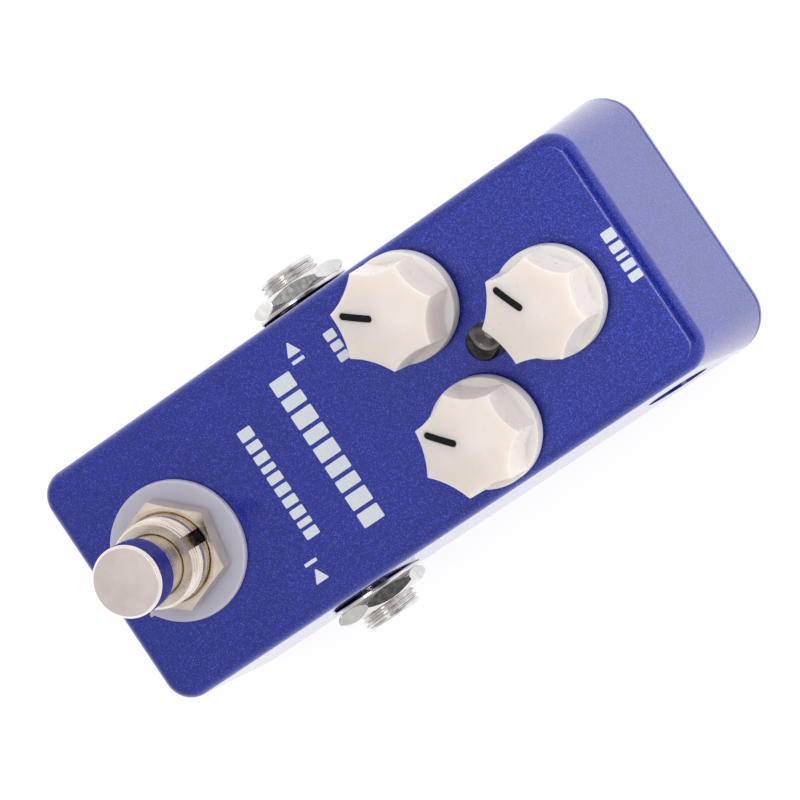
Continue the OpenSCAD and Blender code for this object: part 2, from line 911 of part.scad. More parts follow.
enclosure_shell();
bottom_plate();
plate_screws();
rubber_feet();
footswitch_nylon_washer();
footswitch_lock_washer();
footswitch_nut();
footswitch_bushing();
footswitch_inner_nut();
footswitch_housing();
footswitch_lugs();
footswitch_board();
footswitch_plunger();
footswitch_cap();
footswitch_spring();
main_board();
potentiometer_left();
potentiometer_right();
potentiometer_top();
pot_legs();
pot_washers();
pot_nuts();
pot_shaft_left();
pot_shaft_right();
pot_shaft_top();
knob_left();
knob_right();
knob_top();
pointer_left();
pointer_right();
pointer_top();
lamp_lens();
lamp_leads();
capacitors();
chips();
chip_legs();
resistors();
output_jack_sleeve();
output_jack_washer();
output_jack_nut();
output_jack_body();
output_jack_contacts();
input_jack_sleeve();
input_jack_washer();
input_jack_nut();
input_jack_body();
input_jack_contacts();
dc_socket_body();
dc_socket_pin();
dc_socket_contacts();
ribbon_cable();
hookup_wires();
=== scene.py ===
import json
import math

import bmesh
import bpy
from mathutils import Matrix, Vector


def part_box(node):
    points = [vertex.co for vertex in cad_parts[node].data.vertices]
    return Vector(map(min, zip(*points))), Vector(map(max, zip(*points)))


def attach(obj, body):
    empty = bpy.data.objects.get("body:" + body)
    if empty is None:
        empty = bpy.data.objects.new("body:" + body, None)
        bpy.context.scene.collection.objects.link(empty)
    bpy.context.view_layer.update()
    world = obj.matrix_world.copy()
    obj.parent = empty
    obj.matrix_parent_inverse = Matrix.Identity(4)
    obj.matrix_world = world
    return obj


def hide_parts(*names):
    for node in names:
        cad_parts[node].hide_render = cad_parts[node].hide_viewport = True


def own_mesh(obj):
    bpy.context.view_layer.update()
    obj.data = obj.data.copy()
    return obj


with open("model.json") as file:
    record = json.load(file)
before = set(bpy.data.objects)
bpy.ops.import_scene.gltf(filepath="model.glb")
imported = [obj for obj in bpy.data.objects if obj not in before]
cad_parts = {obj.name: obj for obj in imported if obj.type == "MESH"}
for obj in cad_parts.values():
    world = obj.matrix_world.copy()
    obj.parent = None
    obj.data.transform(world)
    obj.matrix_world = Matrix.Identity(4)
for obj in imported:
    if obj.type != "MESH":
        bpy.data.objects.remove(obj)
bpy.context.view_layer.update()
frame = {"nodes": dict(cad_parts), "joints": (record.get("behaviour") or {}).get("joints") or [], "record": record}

# The visual model of a compact guitar effects pedal. Sizes are in millimetres and every place is
# worked out from the boxes of the CAD nodes; pieces are scaled to metres as they are made.

MM = 0.001


# ---- places, from the frame ----

def low(node):
    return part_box(node)[0] / MM


def high(node):
    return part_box(node)[1] / MM


def centre(node):
    return (low(node) + high(node)) / 2


def half_size(node):
    return (high(node) - low(node)) / 2


def span(node):
    """The heights of a node's lowest and highest point."""
    return low(node).z, high(node).z


PLATE_Z = low("bottom_plate").z
SHELL_Z = low("enclosure_shell").z
PANEL_Z = high("enclosure_shell").z
HALF_W = high("enclosure_shell").x
HALF_L = high("enclosure_shell").y
SWITCH = centre("footswitch_nylon_washer")
LAMP = centre("lamp_lens")
PORT_Z = centre("input_jack_sleeve").z
OUTPUT_Y = centre("output_jack_sleeve").y
INPUT_Y = centre("input_jack_sleeve").y
DC_Y = centre("dc_socket_pin").y
JACKS = ((1, "input", INPUT_Y), (-1, "output", OUTPUT_Y))
KNOBS = {"left": "left_knob", "right": "right_knob", "top": "top_knob"}
JOINTS = {joint["name"]: joint for joint in frame["joints"]}
SLOTS = {part["node"]: part["material_slot"] for part in frame["record"]["subparts"]}


class Box:
    """A box given by its lowest and its highest corner."""

    def __init__(self, lowest, highest):
        self.low = lowest
        self.high = highest
        self.middle = (lowest + highest) / 2
        self.size = highest - lowest


def solids(node):
    """The boxes of a node's separate solids, in a fixed order."""
    bm = bmesh.new()
    bm.from_mesh(frame["nodes"][node].data)
    bmesh.ops.remove_doubles(bm, verts=bm.verts, dist=1e-6)
    waiting = set(bm.verts)
    boxes = []
    while waiting:
        queue = [waiting.pop()]
        island = []
        while queue:
            vert = queue.pop()
            island.append(vert.co / MM)
            others = {edge.other_vert(vert) for edge in vert.link_edges} & waiting
            waiting -= others
            queue += others
        corners = [Vector([pick(p[i] for p in island) for i in range(3)]) for pick in (min, max)]
        boxes.append(Box(*corners))
    bm.free()
    return sorted(boxes, key=lambda box: [round(v, 2) for v in box.low])


# ---- sizes that a box doesn't give ----

DRAFT = 1.55
CORNER_R = 5.4
EDGE_R = 1.7
WALL = 1.8
PANEL_T = 2.0
CEILING_Z = PANEL_Z - PANEL_T
THROUGH = 1.0             # how far a cutter goes past what it cuts
BOSS_R = 2.8
BOSS_INSET = 4.8
SCREW_R = 1.5
BUSHING_R = 6.0
KEY_HALF = 1.0            # half width of the bushing's keyway
KEY_FLOOR = 4.9           # distance of its floor from the axis
KEYED_COUNT = 144         # points round the bushing beside its keyway
NUT_AF = 13.6             # the switch nut across its flats
NUT_TURN = 48             # direction of one of its corners
INNER_NUT_AF = 14
NECK_R = 4.2
NECK_BORE_R = 4.25
POT_BUSHING_R = 3.5
SHAFT_R = 3.0
SLEEVE_R = 4.2
PLUG_R = 3.25
LAMP_R = 2.5
SPOT_R = 6.9              # flat that is cut into the leaning wall for a jack's washer
JACK_NUT_AF = 12.2
JACK_NUT_TURN = {"output": 17, "input": 33}
DC_R = 4.4
DC_BORE_R = 3.2
KNOB_POINTS = 7
KNOB_TIP_R = 7.1
KNOB_CROWN = 1.5          # how far the domed face falls from its middle to the tips
POINTER_FROM = 1.0
POINTER_TO = 5.7
POINTER_W = 0.95
GROOVE_DEPTH = 0.5
KNOB_HALF_TURN = 150      # travel of a knob to each side of twelve o'clock
NOON = 90                 # twelve o'clock is +Y


# ---- outlines and mesh building ----

def ring(z, count, radius_at):
    """Points round Z at one height, each at a distance that is worked out from its angle."""
    angles = [2 * math.pi * k / count for k in range(count)]
    return [(radius_at(a) * math.cos(a), radius_at(a) * math.sin(a), z) for a in angles]


def circle(radius, z, count=96):
    return ring(z, count, lambda a: radius)


def quarter(steps):
    """The sine and cosine of evenly spaced angles from 0 to 90 degrees."""
    angles = [math.radians(90 * step / steps) for step in range(steps + 1)]
    return [(math.sin(a), math.cos(a)) for a in angles]


def fillet(points, closed=True, steps=5):
    """Rounds the corners of an outline. Each point is (x, y) or (x, y, radius)."""
    rounded = []
    count = len(points)
    for i, point in enumerate(points):
        here = Vector(point[:2])
        radius = point[2] if len(point) > 2 else 0
        at_end = not closed and i in (0, count - 1)
        if radius == 0 or at_end:
            rounded.append(tuple(here))
            continue
        before = (Vector(points[i - 1][:2]) - here).normalized()
        after = (Vector(points[(i + 1) % count][:2]) - here).normalized()
        half = before.angle(after) / 2
        middle = here + (before + after).normalized() * (radius / math.sin(half))
        start = here + before * (radius / math.tan(half)) - middle
        end = here + after * (radius / math.tan(half)) - middle
        first = math.atan2(start.y, start.x)
        sweep = math.remainder(math.atan2(end.y, end.x) - first, 2 * math.pi)
        for k in range(steps + 1):
            a = first + sweep * k / steps
            rounded.append((middle.x + radius * math.cos(a), middle.y + radius * math.sin(a)))
    return rounded


def skin(bm, rings, along=False):
    """Faces between neighbouring rings of vertices; along also joins the last ring to the first."""
    pairs = list(zip(rings, rings[1:]))
    if along:
        pairs.append((rings[-1], rings[0]))
    for a, b in pairs:
        for i in range(len(a)):
            j = (i + 1) % len(a)
            bm.faces.new((a[i], a[j], b[j], b[i]))


def loft(sections, capped=True):
    """A solid through closed sections of equally many points."""
    bm = bmesh.new()
    rings = [[bm.verts.new(point) for point in section] for section in sections]
    skin(bm, rings, along=not capped)
    if capped:
        bm.faces.new(rings[0])
        bm.faces.new(rings[-1])
    return bm


def lathe(profile, count=96):
    """A solid turned about Z. Its profile is a loop of (radius, z), or a line from axis to axis."""
    if profile[0][0] > 0:
        return loft([circle(r, z, count) for r, z in profile], capped=False)
    bm = bmesh.new()
    rings = [[bm.verts.new(p) for p in circle(r, z, count)] for r, z in profile[1:-1]]
    skin(bm, rings)
    for end, (_, z) in ((rings[0], profile[0]), (rings[-1], profile[-1])):
        tip = bm.verts.new((0, 0, z))
        for i in range(count):
            bm.faces.new((end[i], end[(i + 1) % count], tip))
    return bm


def turned(profile, count=96, steps=5):
    """A solid turned about Z from a line from axis to axis, with its corners rounded."""
    return lathe(fillet(profile, closed=False, steps=steps), count)


def tube(outer, inner, z0, z1, edge=0.15, count=96):
    """A ring with rounded edges."""
    profile = [(inner, z0, edge), (outer, z0, edge), (outer, z1, edge), (inner, z1, edge)]
    return lathe(fillet(profile, steps=3), count)


def rod(radius, z0, z1, edge=0.15, count=96):
    """A round bar with rounded ends."""
    return turned([(0, z0), (radius, z0, edge), (radius, z1, edge), (0, z1)], count)


def block(size, middle, edge=0.15):
    """A box with rounded edges."""
    bm = bmesh.new()
    bmesh.ops.create_cube(bm, size=1, matrix=Matrix.Diagonal((*size, 1)))
    if edge:
        bmesh.ops.bevel(bm, geom=bm.edges[:], offset=edge, segments=2, affect="EDGES", profile=0.5)
    bm.transform(Matrix.Translation(middle))
    return bm


def placed(bm, matrix):
    bm.transform(matrix)
    return bm


def moved(bm, x, y, z=0.0):
    return placed(bm, Matrix.Translation((x, y, z)))


def lying(axis, x, y, z):
    """The matrix that turns a part made about Z a quarter about an axis and puts it at a place."""
    return Matrix.Translation((x, y, z)) @ Matrix.Rotation(math.pi / 2, 4, axis)


def joined(parts):
    """Several separate solids as one mesh."""
    total = bmesh.new()
    for part in parts:
        mesh = bpy.data.meshes.new("part")
        turn_outward(part)
        part.to_mesh(mesh)
        part.free()
        total.from_mesh(mesh)
        bpy.data.meshes.remove(mesh)
    return total


def turn_outward(bm):
    """Makes every face look outward, as the booleans expect."""
    bmesh.ops.recalc_face_normals(bm, faces=bm.faces)
    if bm.calc_volume(signed=True) < 0:
        bmesh.ops.reverse_faces(bm, faces=bm.faces)


def shown(name, data):
    """A new object in the scene."""
    obj = bpy.data.objects.new(name, data)
    bpy.context.scene.collection.objects.link(obj)
    return obj


def carve(bm, cutters, operation="DIFFERENCE"):
    """The solid after the operation with each cutter: cut by it, joined to it or kept inside it."""
    workers = []
    for part in [bm, *cutters]:
        turn_outward(part)
        mesh = bpy.data.meshes.new("worker")
        part.to_mesh(mesh)
        part.free()
        workers.append(shown("worker", mesh))
    for cutter in workers[1:]:
        boolean = workers[0].modifiers.new("carve", "BOOLEAN")
        boolean.operation = operation
        boolean.object = cutter
        boolean.solver = "EXACT"
    bpy.context.view_layer.update()
    result = bmesh.new()
    result.from_object(workers[0], bpy.context.evaluated_depsgraph_get())
    for worker in workers:
        bpy.data.meshes.remove(worker.data)
    bmesh.ops.remove_doubles(result, verts=result.verts, dist=1e-4)
    return result


def piece(name, bm, look, *nodes, body="enclosure", sharp=32):
    """Makes the mesh an object of the model that stands for the CAD nodes and rides on a body."""
    turn_outward(bm)
    for face in bm.faces:
        face.smooth = True
    for edge in bm.edges:
        edge.smooth = edge.calc_face_angle(math.pi) < math.radians(sharp)
    bm.transform(Matrix.Scale(MM, 4))
    mesh = bpy.data.meshes.new(name)
    bm.to_mesh(mesh)
    bm.free()
    obj = shown(name, mesh)
    mesh.materials.append(LOOKS[look])
    weighted = obj.modifiers.new("weighted", "WEIGHTED_NORMAL")
    weighted.keep_sharp = True
    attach(obj, body)
    if nodes:
        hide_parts(*nodes)
    return obj


# ---- materials ----

class Nodes:
    """Adds shader nodes to a tree and feeds their inputs with values or with other nodes' outputs."""

    def __init__(self, tree):
        self.tree = tree

    def add(self, kind, inputs=None, **settings):
        node = self.tree.nodes.new("ShaderNode" + kind)
        for name, value in settings.items():
            setattr(node, name, value)
        for name, value in (inputs or {}).items():
            self.feed(node.inputs[name], value)
        return node

    def feed(self, socket, value):
        if isinstance(value, bpy.types.NodeSocket):
            self.tree.links.new(value, socket)
        elif isinstance(value, tuple) and len(value) == 3 and socket.type == "RGBA":
            socket.default_value = (*value, 1)
        else:
            socket.default_value = value

    def remap(self, value, start, end, new_start=0.0, new_end=1.0, **settings):
        inputs = {"Value": value, "From Min": start, "From Max": end, "To Min": new_start, "To Max": new_end}
        return self.add("MapRange", inputs, **settings).outputs["Result"]

    def math(self, operation, a, b=0.0):
        return self.add("Math", {0: a, 1: b}, operation=operation).outputs[0]


class Look(Nodes):
    """A node material with one Principled surface; `place` is the object's own position in metres."""

    def __init__(self, name, **surface):
        self.material = bpy.data.materials.new(name)
        self.material.use_nodes = True
        super().__init__(self.material.node_tree)
        self.surface = self.tree.nodes["Principled BSDF"]
        self.place = self.add("TexCoord").outputs["Object"]
        self.set(**surface)

    def set(self, **surface):
        for name, value in surface.items():
            self.feed(self.surface.inputs[name.replace("_", " ")], value)

    def noise(self, size, detail=3.0, place=None):
        """Smooth noise from 0 to 1 with features of about `size` millimetres."""
        inputs = {"Vector": place or self.place, "Scale": 1 / (size * MM), "Detail": detail}
        return self.add("TexNoise", inputs).outputs["Fac"]

    def cells(self, size):
        """A random value from 0 to 1 for each cell of about `size` millimetres."""
        cells = self.add("TexVoronoi", {"Vector": self.place, "Scale": 1 / (size * MM)})
        return self.add("SeparateColor", {"Color": cells.outputs["Color"]}).outputs["Red"]

    def mix(self, factor, a, b):
        """A colour between two; a colour mix has its inputs after those of the other kinds of mix."""
        return self.add("Mix", {0: factor, 6: a, 7: b}, data_type="RGBA").outputs[2]

    def stretched(self, x=1.0, y=1.0, z=1.0):
        """The position with each axis scaled, to draw a grain out along an axis."""
        return self.add("Mapping", {"Vector": self.place, "Scale": (x, y, z)}).outputs["Vector"]

    def part_of_place(self, axis):
        return self.add("SeparateXYZ", {"Vector": self.place}).outputs[axis]

    def radius(self, x, y):
        """The distance in metres from an upright axis given in millimetres."""
        flat = self.add("VectorMath", {0: self.place, 1: (x * MM, y * MM, 0)}, operation="SUBTRACT")
        flat = self.add("VectorMath", {0: flat.outputs[0], 1: (1, 1, 0)}, operation="MULTIPLY")
        return self.add("VectorMath", {0: flat.outputs[0]}, operation="LENGTH").outputs["Value"]

    def bump(self, height, depth):
        """Bends the surface's normals as a height of 0 to 1 that stands for `depth` millimetres."""
        inputs = {"Height": height, "Distance": depth * MM, "Strength": 1.0}
        return self.add("Bump", inputs).outputs["Normal"]

    def relief(self, depth, *noise):
        """Noise as a relief that is `depth` millimetres deep."""
        self.set(Normal=self.bump(self.noise(*noise), depth))

    def uneven(self, size, smooth, rough):
        """Lets the roughness drift between two values over about `size` millimetres."""
        self.set(Roughness=self.remap(self.noise(size), 0.3, 0.7, smooth, rough))


def paint():
    """Deep metallic blue: fine flakes of differing brightness under a slightly uneven clear coat."""
    look = Look("enclosure_paint", Metallic=0.5, Coat_Weight=1.0)
    flake = look.cells(0.1)
    fine = look.noise(0.11, 1.0)
    clouds = look.noise(9.0, 2.0)
    blue = look.mix(look.remap(clouds, 0.3, 0.7), (0.001, 0.004, 0.17), (0.002, 0.006, 0.22))
    blue = look.mix(look.remap(fine, 0.35, 0.7, 0.0, 0.6), blue, (0.004, 0.022, 0.46))
    blue = look.mix(look.remap(flake, 0.75, 1.0, 0.0, 0.8), blue, (0.06, 0.13, 0.85))
    peel = look.noise(1.1, 1.0)
    look.set(Base_Color=blue, Roughness=look.remap(flake, 0.0, 1.0, 0.45, 0.3))
    look.set(Normal=look.bump(flake, 0.006))
    look.set(Coat_Normal=look.bump(peel, 0.002), Coat_Roughness=0.04, Coat_IOR=1.45)
    return look.material


def cream_plastic():
    """Moulded cream plastic, a little translucent, with a satin skin."""
    look = Look("knob_plastic", Subsurface_Weight=0.7, Subsurface_Scale=0.003, IOR=1.5)
    clouds = look.noise(3.0, 2.0)
    look.set(Base_Color=look.mix(clouds, (0.83, 0.752, 0.70), (0.895, 0.82, 0.783)))
    look.set(Subsurface_Radius=(1.0, 0.75, 0.5))
    look.uneven(0.7, 0.26, 0.4)
    look.relief(0.001, 0.3, 1.0)
    return look.material


def plastic(name, dark, light, roughness, grain=0.12, depth=0.004, **surface):
    """Moulded plastic or rubber with a fine grain and slight clouds."""
    look = Look(name, **surface)
    clouds = look.noise(4.0, 2.0)
    look.set(Base_Color=look.mix(clouds, dark, light))
    look.uneven(0.5, roughness * 0.8, min(roughness * 1.25, 1.0))
    look.relief(depth, grain, 2.0)
    return look.material


def metal(name, dark, light, smooth, rough, scratch=0.0015, axis=None):
    """Plated metal: clouds in the finish and fine marks, which run round an axis on turned parts."""
    look = Look(name, Metallic=1.0)
    clouds = look.noise(2.5)
    look.set(Base_Color=look.mix(look.remap(clouds, 0.35, 0.65), dark, light))
    if axis:
        radius = look.radius(*axis)
        rings = look.add("CombineXYZ", {"X": radius}).outputs["Vector"]
        marks = look.noise(0.1, 2.0, rings)
    else:
        marks = look.noise(0.07, 2.0, look.stretched(0.12, 0.12, 1.0))
    look.uneven(0.6, smooth, rough)
    look.set(Normal=look.bump(marks, scratch))
    return look.material


def nylon():
    look = Look("nylon", Subsurface_Weight=0.5, Subsurface_Scale=0.002, IOR=1.53)
    look.set(Base_Color=look.mix(look.noise(3.0), (0.54, 0.53, 0.64), (0.61, 0.60, 0.70)))
    look.set(Subsurface_Radius=(0.8, 0.8, 1.0))
    look.uneven(0.8, 0.35, 0.5)
    look.relief(0.004, 0.25, 2.0)
    return look.material


def smoked_lens():
    """Clear epoxy with a grey tint."""
    look = Look("smoked_lens", Transmission_Weight=1.0, IOR=1.5)
    tint = look.mix(look.noise(1.5), (0.30, 0.29, 0.30), (0.42, 0.41, 0.42))
    look.uneven(0.5, 0.01, 0.05)
    look.set(Base_Color=tint)
    look.relief(0.002, 0.8, 1.0)
    return look.material


def circuit_board():
    """Green solder mask over copper tracks and a ground plane, with tinned pads."""
    look = Look("circuit_board", Coat_Weight=0.4, Coat_Roughness=0.2)
    track_gap = 9             # millimetres from track to track
    pad_gap = 2.54
    brick = {"Vector": look.place, "Scale": 1 / (track_gap * MM), "Mortar Size": 0.06}
    squares = look.add("TexBrick", brick)
    tracks = squares.outputs["Fac"]
    pads = look.add("TexVoronoi", {"Vector": look.place, "Scale": 1 / (pad_gap * MM), "Randomness": 0.0})
    pad = look.math("LESS_THAN", pads.outputs["Distance"], 0.17)
    mask = look.mix(look.noise(2.0), (0.005, 0.10, 0.035), (0.01, 0.15, 0.05))
    green = look.mix(tracks, mask, (0.002, 0.05, 0.02))
    look.set(Base_Color=look.mix(pad, green, (0.62, 0.60, 0.52)), Metallic=pad)
    look.uneven(0.4, 0.3, 0.45)
    look.set(Normal=look.bump(tracks, -0.03))
    return look.material


def resistor_body():
    """Beige lacquer with colour bands across the length."""
    look = Look("resistor_body", Coat_Weight=0.5)
    share = look.remap(look.part_of_place("X"), low("resistors").x * MM, high("resistors").x * MM)
    ramp = look.add("ValToRGB", {"Fac": share})
    bands = ramp.color_ramp
    bands.interpolation = "CONSTANT"
    beige = (0.55, 0.42, 0.24, 1)
    brown, black = (0.28, 0.11, 0.02, 1), (0.01, 0.01, 0.01, 1)
    orange, gold = (0.5, 0.12, 0.01, 1), (0.5, 0.33, 0.06, 1)
    band_width = 0.09
    bands.elements.remove(bands.elements[1])
    bands.elements[0].color = beige
    for start, colour in ((0.2, brown), (0.38, black), (0.56, orange), (0.78, gold)):
        bands.elements.new(start).color = colour
        bands.elements.new(start + band_width).color = beige
    look.set(Base_Color=ramp.outputs["Color"])
    look.uneven(0.4, 0.3, 0.5)
    look.relief(0.01, 0.3)
    return look.material


def capacitor_sleeve():
    """Dark printed film with a pale stripe down one side of each can."""
    look = Look("capacitor_sleeve", Coat_Weight=0.3)
    stripe_depth = 0.55
    stripe_x = (low("capacitors").x + stripe_depth) * MM
    stripe = look.math("LESS_THAN", look.part_of_place("X"), stripe_x)
    dark = look.mix(look.noise(1.5), (0.008, 0.009, 0.014), (0.014, 0.016, 0.026))
    look.set(Base_Color=look.mix(stripe, dark, (0.42, 0.44, 0.5)))
    look.uneven(0.5, 0.25, 0.4)
    look.relief(0.006, 0.4)
    return look.material


def white_ink():
    """Screen-printed ink, thinner and cooler in patches."""
    look = Look("white_ink")
    look.set(Base_Color=look.mix(look.noise(0.35), (0.66, 0.72, 0.84), (0.84, 0.87, 0.93)))
    look.uneven(0.3, 0.35, 0.6)
    look.relief(0.004, 0.12, 2.0)
    return look.material


SWITCH_AXIS = (SWITCH.x, SWITCH.y)
METALS = {
    "nickel": ((0.74, 0.65, 0.56), (0.86, 0.77, 0.67), 0.14, 0.27),
    "jack_nickel": ((0.72, 0.70, 0.68), (0.86, 0.84, 0.82), 0.14, 0.27),
    "turned_nickel": ((0.74, 0.66, 0.57), (0.86, 0.78, 0.69), 0.2, 0.3, 0.003, SWITCH_AXIS),
    "bright_chrome": ((0.90, 0.80, 0.77), (0.97, 0.875, 0.845), 0.08, 0.15, 0.0006, SWITCH_AXIS),
    "dull_nickel": ((0.36, 0.34, 0.31), (0.5, 0.48, 0.45), 0.3, 0.45),
    "zinc_screw": ((0.50, 0.50, 0.51), (0.66, 0.66, 0.68), 0.25, 0.4),
    "spring_steel": ((0.36, 0.35, 0.34), (0.5, 0.49, 0.48), 0.2, 0.35),
    "tinned_lugs": ((0.58, 0.50, 0.33), (0.74, 0.68, 0.52), 0.25, 0.42),
}
PLASTICS = {
    "black_rubber": ((0.012, 0.012, 0.012), (0.03, 0.03, 0.03), 0.7, 0.3, 0.02),
    "black_plastic": ((0.01, 0.01, 0.012), (0.02, 0.02, 0.022), 0.4),
    "blue_plastic": ((0.01, 0.06, 0.28), (0.015, 0.09, 0.36), 0.35),
    "cable_grey": ((0.42, 0.42, 0.41), (0.55, 0.55, 0.53), 0.45),
    "cable_red": ((0.35, 0.012, 0.01), (0.5, 0.02, 0.015), 0.4),
}
LOOKS = {
    "enclosure_paint": paint(),
    "knob_plastic": cream_plastic(),
    "nylon": nylon(),
    "smoked_lens": smoked_lens(),
    "circuit_board": circuit_board(),
    "resistor_body": resistor_body(),
    "white_ink": white_ink(),
    "capacitor_sleeve": capacitor_sleeve(),
    "black_inlay": plastic("black_inlay", (0.004, 0.004, 0.005), (0.01, 0.01, 0.012), 0.4,
                           Specular_IOR_Level=0.15),
}
for look_name, values in METALS.items():
    LOOKS[look_name] = metal(look_name, *values)
for look_name, values in PLASTICS.items():
    LOOKS[look_name] = plastic(look_name, *values)


# ---- case ----

def box_section(half_w, half_l, radius, z, steps=12):
    """A rectangle with round corners at height z."""
    corners = [(half_w, half_l), (-half_w, half_l), (-half_w, -half_l), (half_w, -half_l)]
    outline = fillet([(x, y, radius) for x, y in corners], steps=steps)
    return [(x, y, z) for x, y in outline]


def case_section(inset, z):
    return box_section(HALF_W - inset, HALF_L - inset, CORNER_R - inset, z)


def corners_of(x, y):
    return [(sx * x, sy * y) for sx in (-1, 1) for sy in (-1, 1)]


def port(side, y):
    """The matrix that puts a part made about Z on a port, its +Z pointing out of the case."""
    return Matrix.Translation((0, y, PORT_Z)) @ Matrix.Rotation(side * math.pi / 2, 4, "Y")


def boss_places():
    return corners_of(HALF_W - BOSS_INSET, HALF_L - BOSS_INSET)


def panel_hole(radius, place):
    return moved(rod(radius, CEILING_Z - THROUGH, PANEL_Z + THROUGH, 0), place.x, place.y)


def side_hole(radius, side, y, start):
    """A hole from a distance from the case's middle outward through one side wall."""
    return placed(rod(radius, start, HALF_W + 2.5, 0), port(side, y))


def case():
    """The cast case: a tapered box with round edges, open below, with screw bosses and its holes."""
    lip = 0.25
    inner_r = 1.0             # inside of the edge round the panel
    wall_top = PANEL_Z - EDGE_R
    lean = DRAFT * lip / (wall_top - SHELL_Z)
    outside = [case_section(lip, SHELL_Z), case_section(lip * 0.3, SHELL_Z + lip * 0.3),
               case_section(lean, SHELL_Z + lip)]
    for sine, cosine in quarter(12):
        outside.append(case_section(DRAFT + EDGE_R * (1 - cosine), wall_top + EDGE_R * sine))
    inside = [case_section(WALL, SHELL_Z - THROUGH)]
    for sine, cosine in quarter(6):
        inset = WALL + DRAFT + inner_r * (1 - cosine)
        inside.append(case_section(inset, CEILING_Z - inner_r * (1 - sine)))
    thread_end = SHELL_Z + 7
    boss = [(0, CEILING_Z + THROUGH), (BOSS_R, CEILING_Z + THROUGH), (BOSS_R, SHELL_Z, 0.2),
            (SCREW_R, SHELL_Z, 0.2), (SCREW_R, thread_end, 0.1), (0, thread_end + 1)]
    bosses = [moved(turned(boss, 32), x, y) for x, y in boss_places()]
    body = carve(carve(loft(outside), [loft(inside)]), bosses, "UNION")
    behind_wall = 14
    holes = [panel_hole(BUSHING_R + 0.1, SWITCH), panel_hole(LAMP_R + 0.05, LAMP),
             side_hole(DC_R + 0.1, 1, DC_Y, behind_wall)]
    holes += [panel_hole(POT_BUSHING_R + 0.1, centre("knob_" + name)) for name in KNOBS]
    for side, _, y in JACKS:
        holes.append(side_hole(SLEEVE_R + 0.1, side, y, behind_wall))
        holes.append(side_hole(SPOT_R, side, y, low("input_jack_washer").x))
    piece("case_shell", carve(body, holes), "enclosure_paint", "enclosure_shell", sharp=40)


def bottom_plate():
    """The plate under the case, with countersunk holes for its screws."""
    edge = 0.3
    thick = SHELL_Z - PLATE_Z
    outline = [(edge * (1 - sine), PLATE_Z + edge * (1 - cosine)) for sine, cosine in quarter(4)]
    outline += [(edge * (1 - cosine), SHELL_Z - edge * (1 - sine)) for sine, cosine in quarter(3)]
    plate = loft([case_section(inset, z) for inset, z in outline])
    sink_r, hole_r = 2.8, 1.6
    sink = [(0, -0.1), (sink_r + 0.15, -0.1), (sink_r, 0.05), (hole_r, thick - 0.2), (hole_r, thick + 0.1),
            (0, thick + 0.1)]
    sinks = [moved(lathe(sink, 48), x, y, PLATE_Z) for x, y in boss_places()]
    piece("base_plate", carve(plate, sinks), "enclosure_paint", "bottom_plate", sharp=40)


def thread_radius(radius, depth, pitch, angle, z):
    """Radius of a thread with small flats on its crests and roots."""
    turn = (z / pitch - angle / (2 * math.pi)) % 1
    slope = 1 - abs(2 * turn - 1)
    return radius - depth * min(max((slope - 0.15) / 0.7, 0), 1)


def screw():
    """A countersunk screw with a cross in its head, which lies at z = 0, and its thread upward."""
    head_r, head_t = 2.75, 1.2
    thread_r, thread_l, depth, pitch = SCREW_R - 0.02, 5.8, 0.25, 0.5
    point_from = 6.6
    count, rows = 24, 56
    rings = [circle(head_r - 0.15, 0, count), circle(head_r, 0.1, count), circle(thread_r, head_t, count)]
    for k in range(rows + 1):
        z = head_t + thread_l * k / rows
        limit = thread_r - max(0, z - point_from)
        rings.append(ring(z, count, lambda a: min(limit, thread_radius(thread_r, depth, pitch, a, z))))
    slot_l, slot_w, slot_h = 3.1, 0.55, 1.3
    slots = [block(size, (0, 0, 0), 0.08) for size in ((slot_l, slot_w, slot_h), (slot_w, slot_l, slot_h))]
    return carve(loft(rings), slots)


def screws():
    parts = [moved(screw(), x, y, PLATE_Z) for x, y in boss_places()]
    piece("base_screws", joined(parts), "zinc_screw", "plate_screws")


def feet():
    radius = 4.0
    spread = half_size("rubber_feet")
    profile = [(0, 0), (radius - 0.3, 0, 0.5), (radius, PLATE_Z), (0, PLATE_Z)]
    parts = [moved(turned(profile, 48), x, y) for x, y in corners_of(spread.x - radius, spread.y - radius)]
    piece("foot_pads", joined(parts), "black_rubber", "rubber_feet")


# ---- nuts and washers ----

def hex_nut(across_flats, bore, height, turn=0.0, both=True, slope=28):
    """A hexagon nut with chamfered corners and a chamfered bore, from z = 0 up."""
    corner = across_flats / math.sqrt(3)
    corner_r = 0.12
    directions = [math.radians(turn + 60 * k) for k in range(6)]
    outline = fillet([(corner * math.cos(a), corner * math.sin(a), corner_r) for a in directions], steps=2)
    prism = loft([[(x, y, z) for x, y in outline] for z in (-0.5, height + 0.5)])
    flat = across_flats / 2 * 0.985
    drop = (corner - flat) * math.tan(math.radians(slope))
    wide = corner + 0.1
    over = 0.1 * math.tan(math.radians(slope))
    bottom = [(0, 0), (flat, 0), (wide, drop + over)] if both else [(0, 0), (wide, 0)]
    profile = bottom + [(wide, height - drop - over), (flat, height), (0, height)]
    nut = carve(prism, [lathe(profile, 120)], "INTERSECT")
    ease = 0.3
    hole = [(0, -THROUGH), (bore + ease + THROUGH, -THROUGH), (bore, ease), (bore, height - ease),
            (bore + ease + THROUGH, height + THROUGH), (0, height + THROUGH)]
    return carve(nut, [lathe(hole)])


def toothed_washer(outer, inner, z0, z1, teeth=18):
    """A lock washer with teeth round its hole."""
    per_tooth, tooth_points = 8, 5
    count = teeth * per_tooth
    root = (inner + outer) / 2

    def bore(a):
        at_tooth = round(a * count / (2 * math.pi)) % per_tooth < tooth_points
        return inner if at_tooth else root

    rim = [circle(outer, z0, count), circle(outer, z1, count)]
    return loft(rim + [ring(z1, count, bore), ring(z0, count, bore)], capped=False)


# ---- foot switch ----

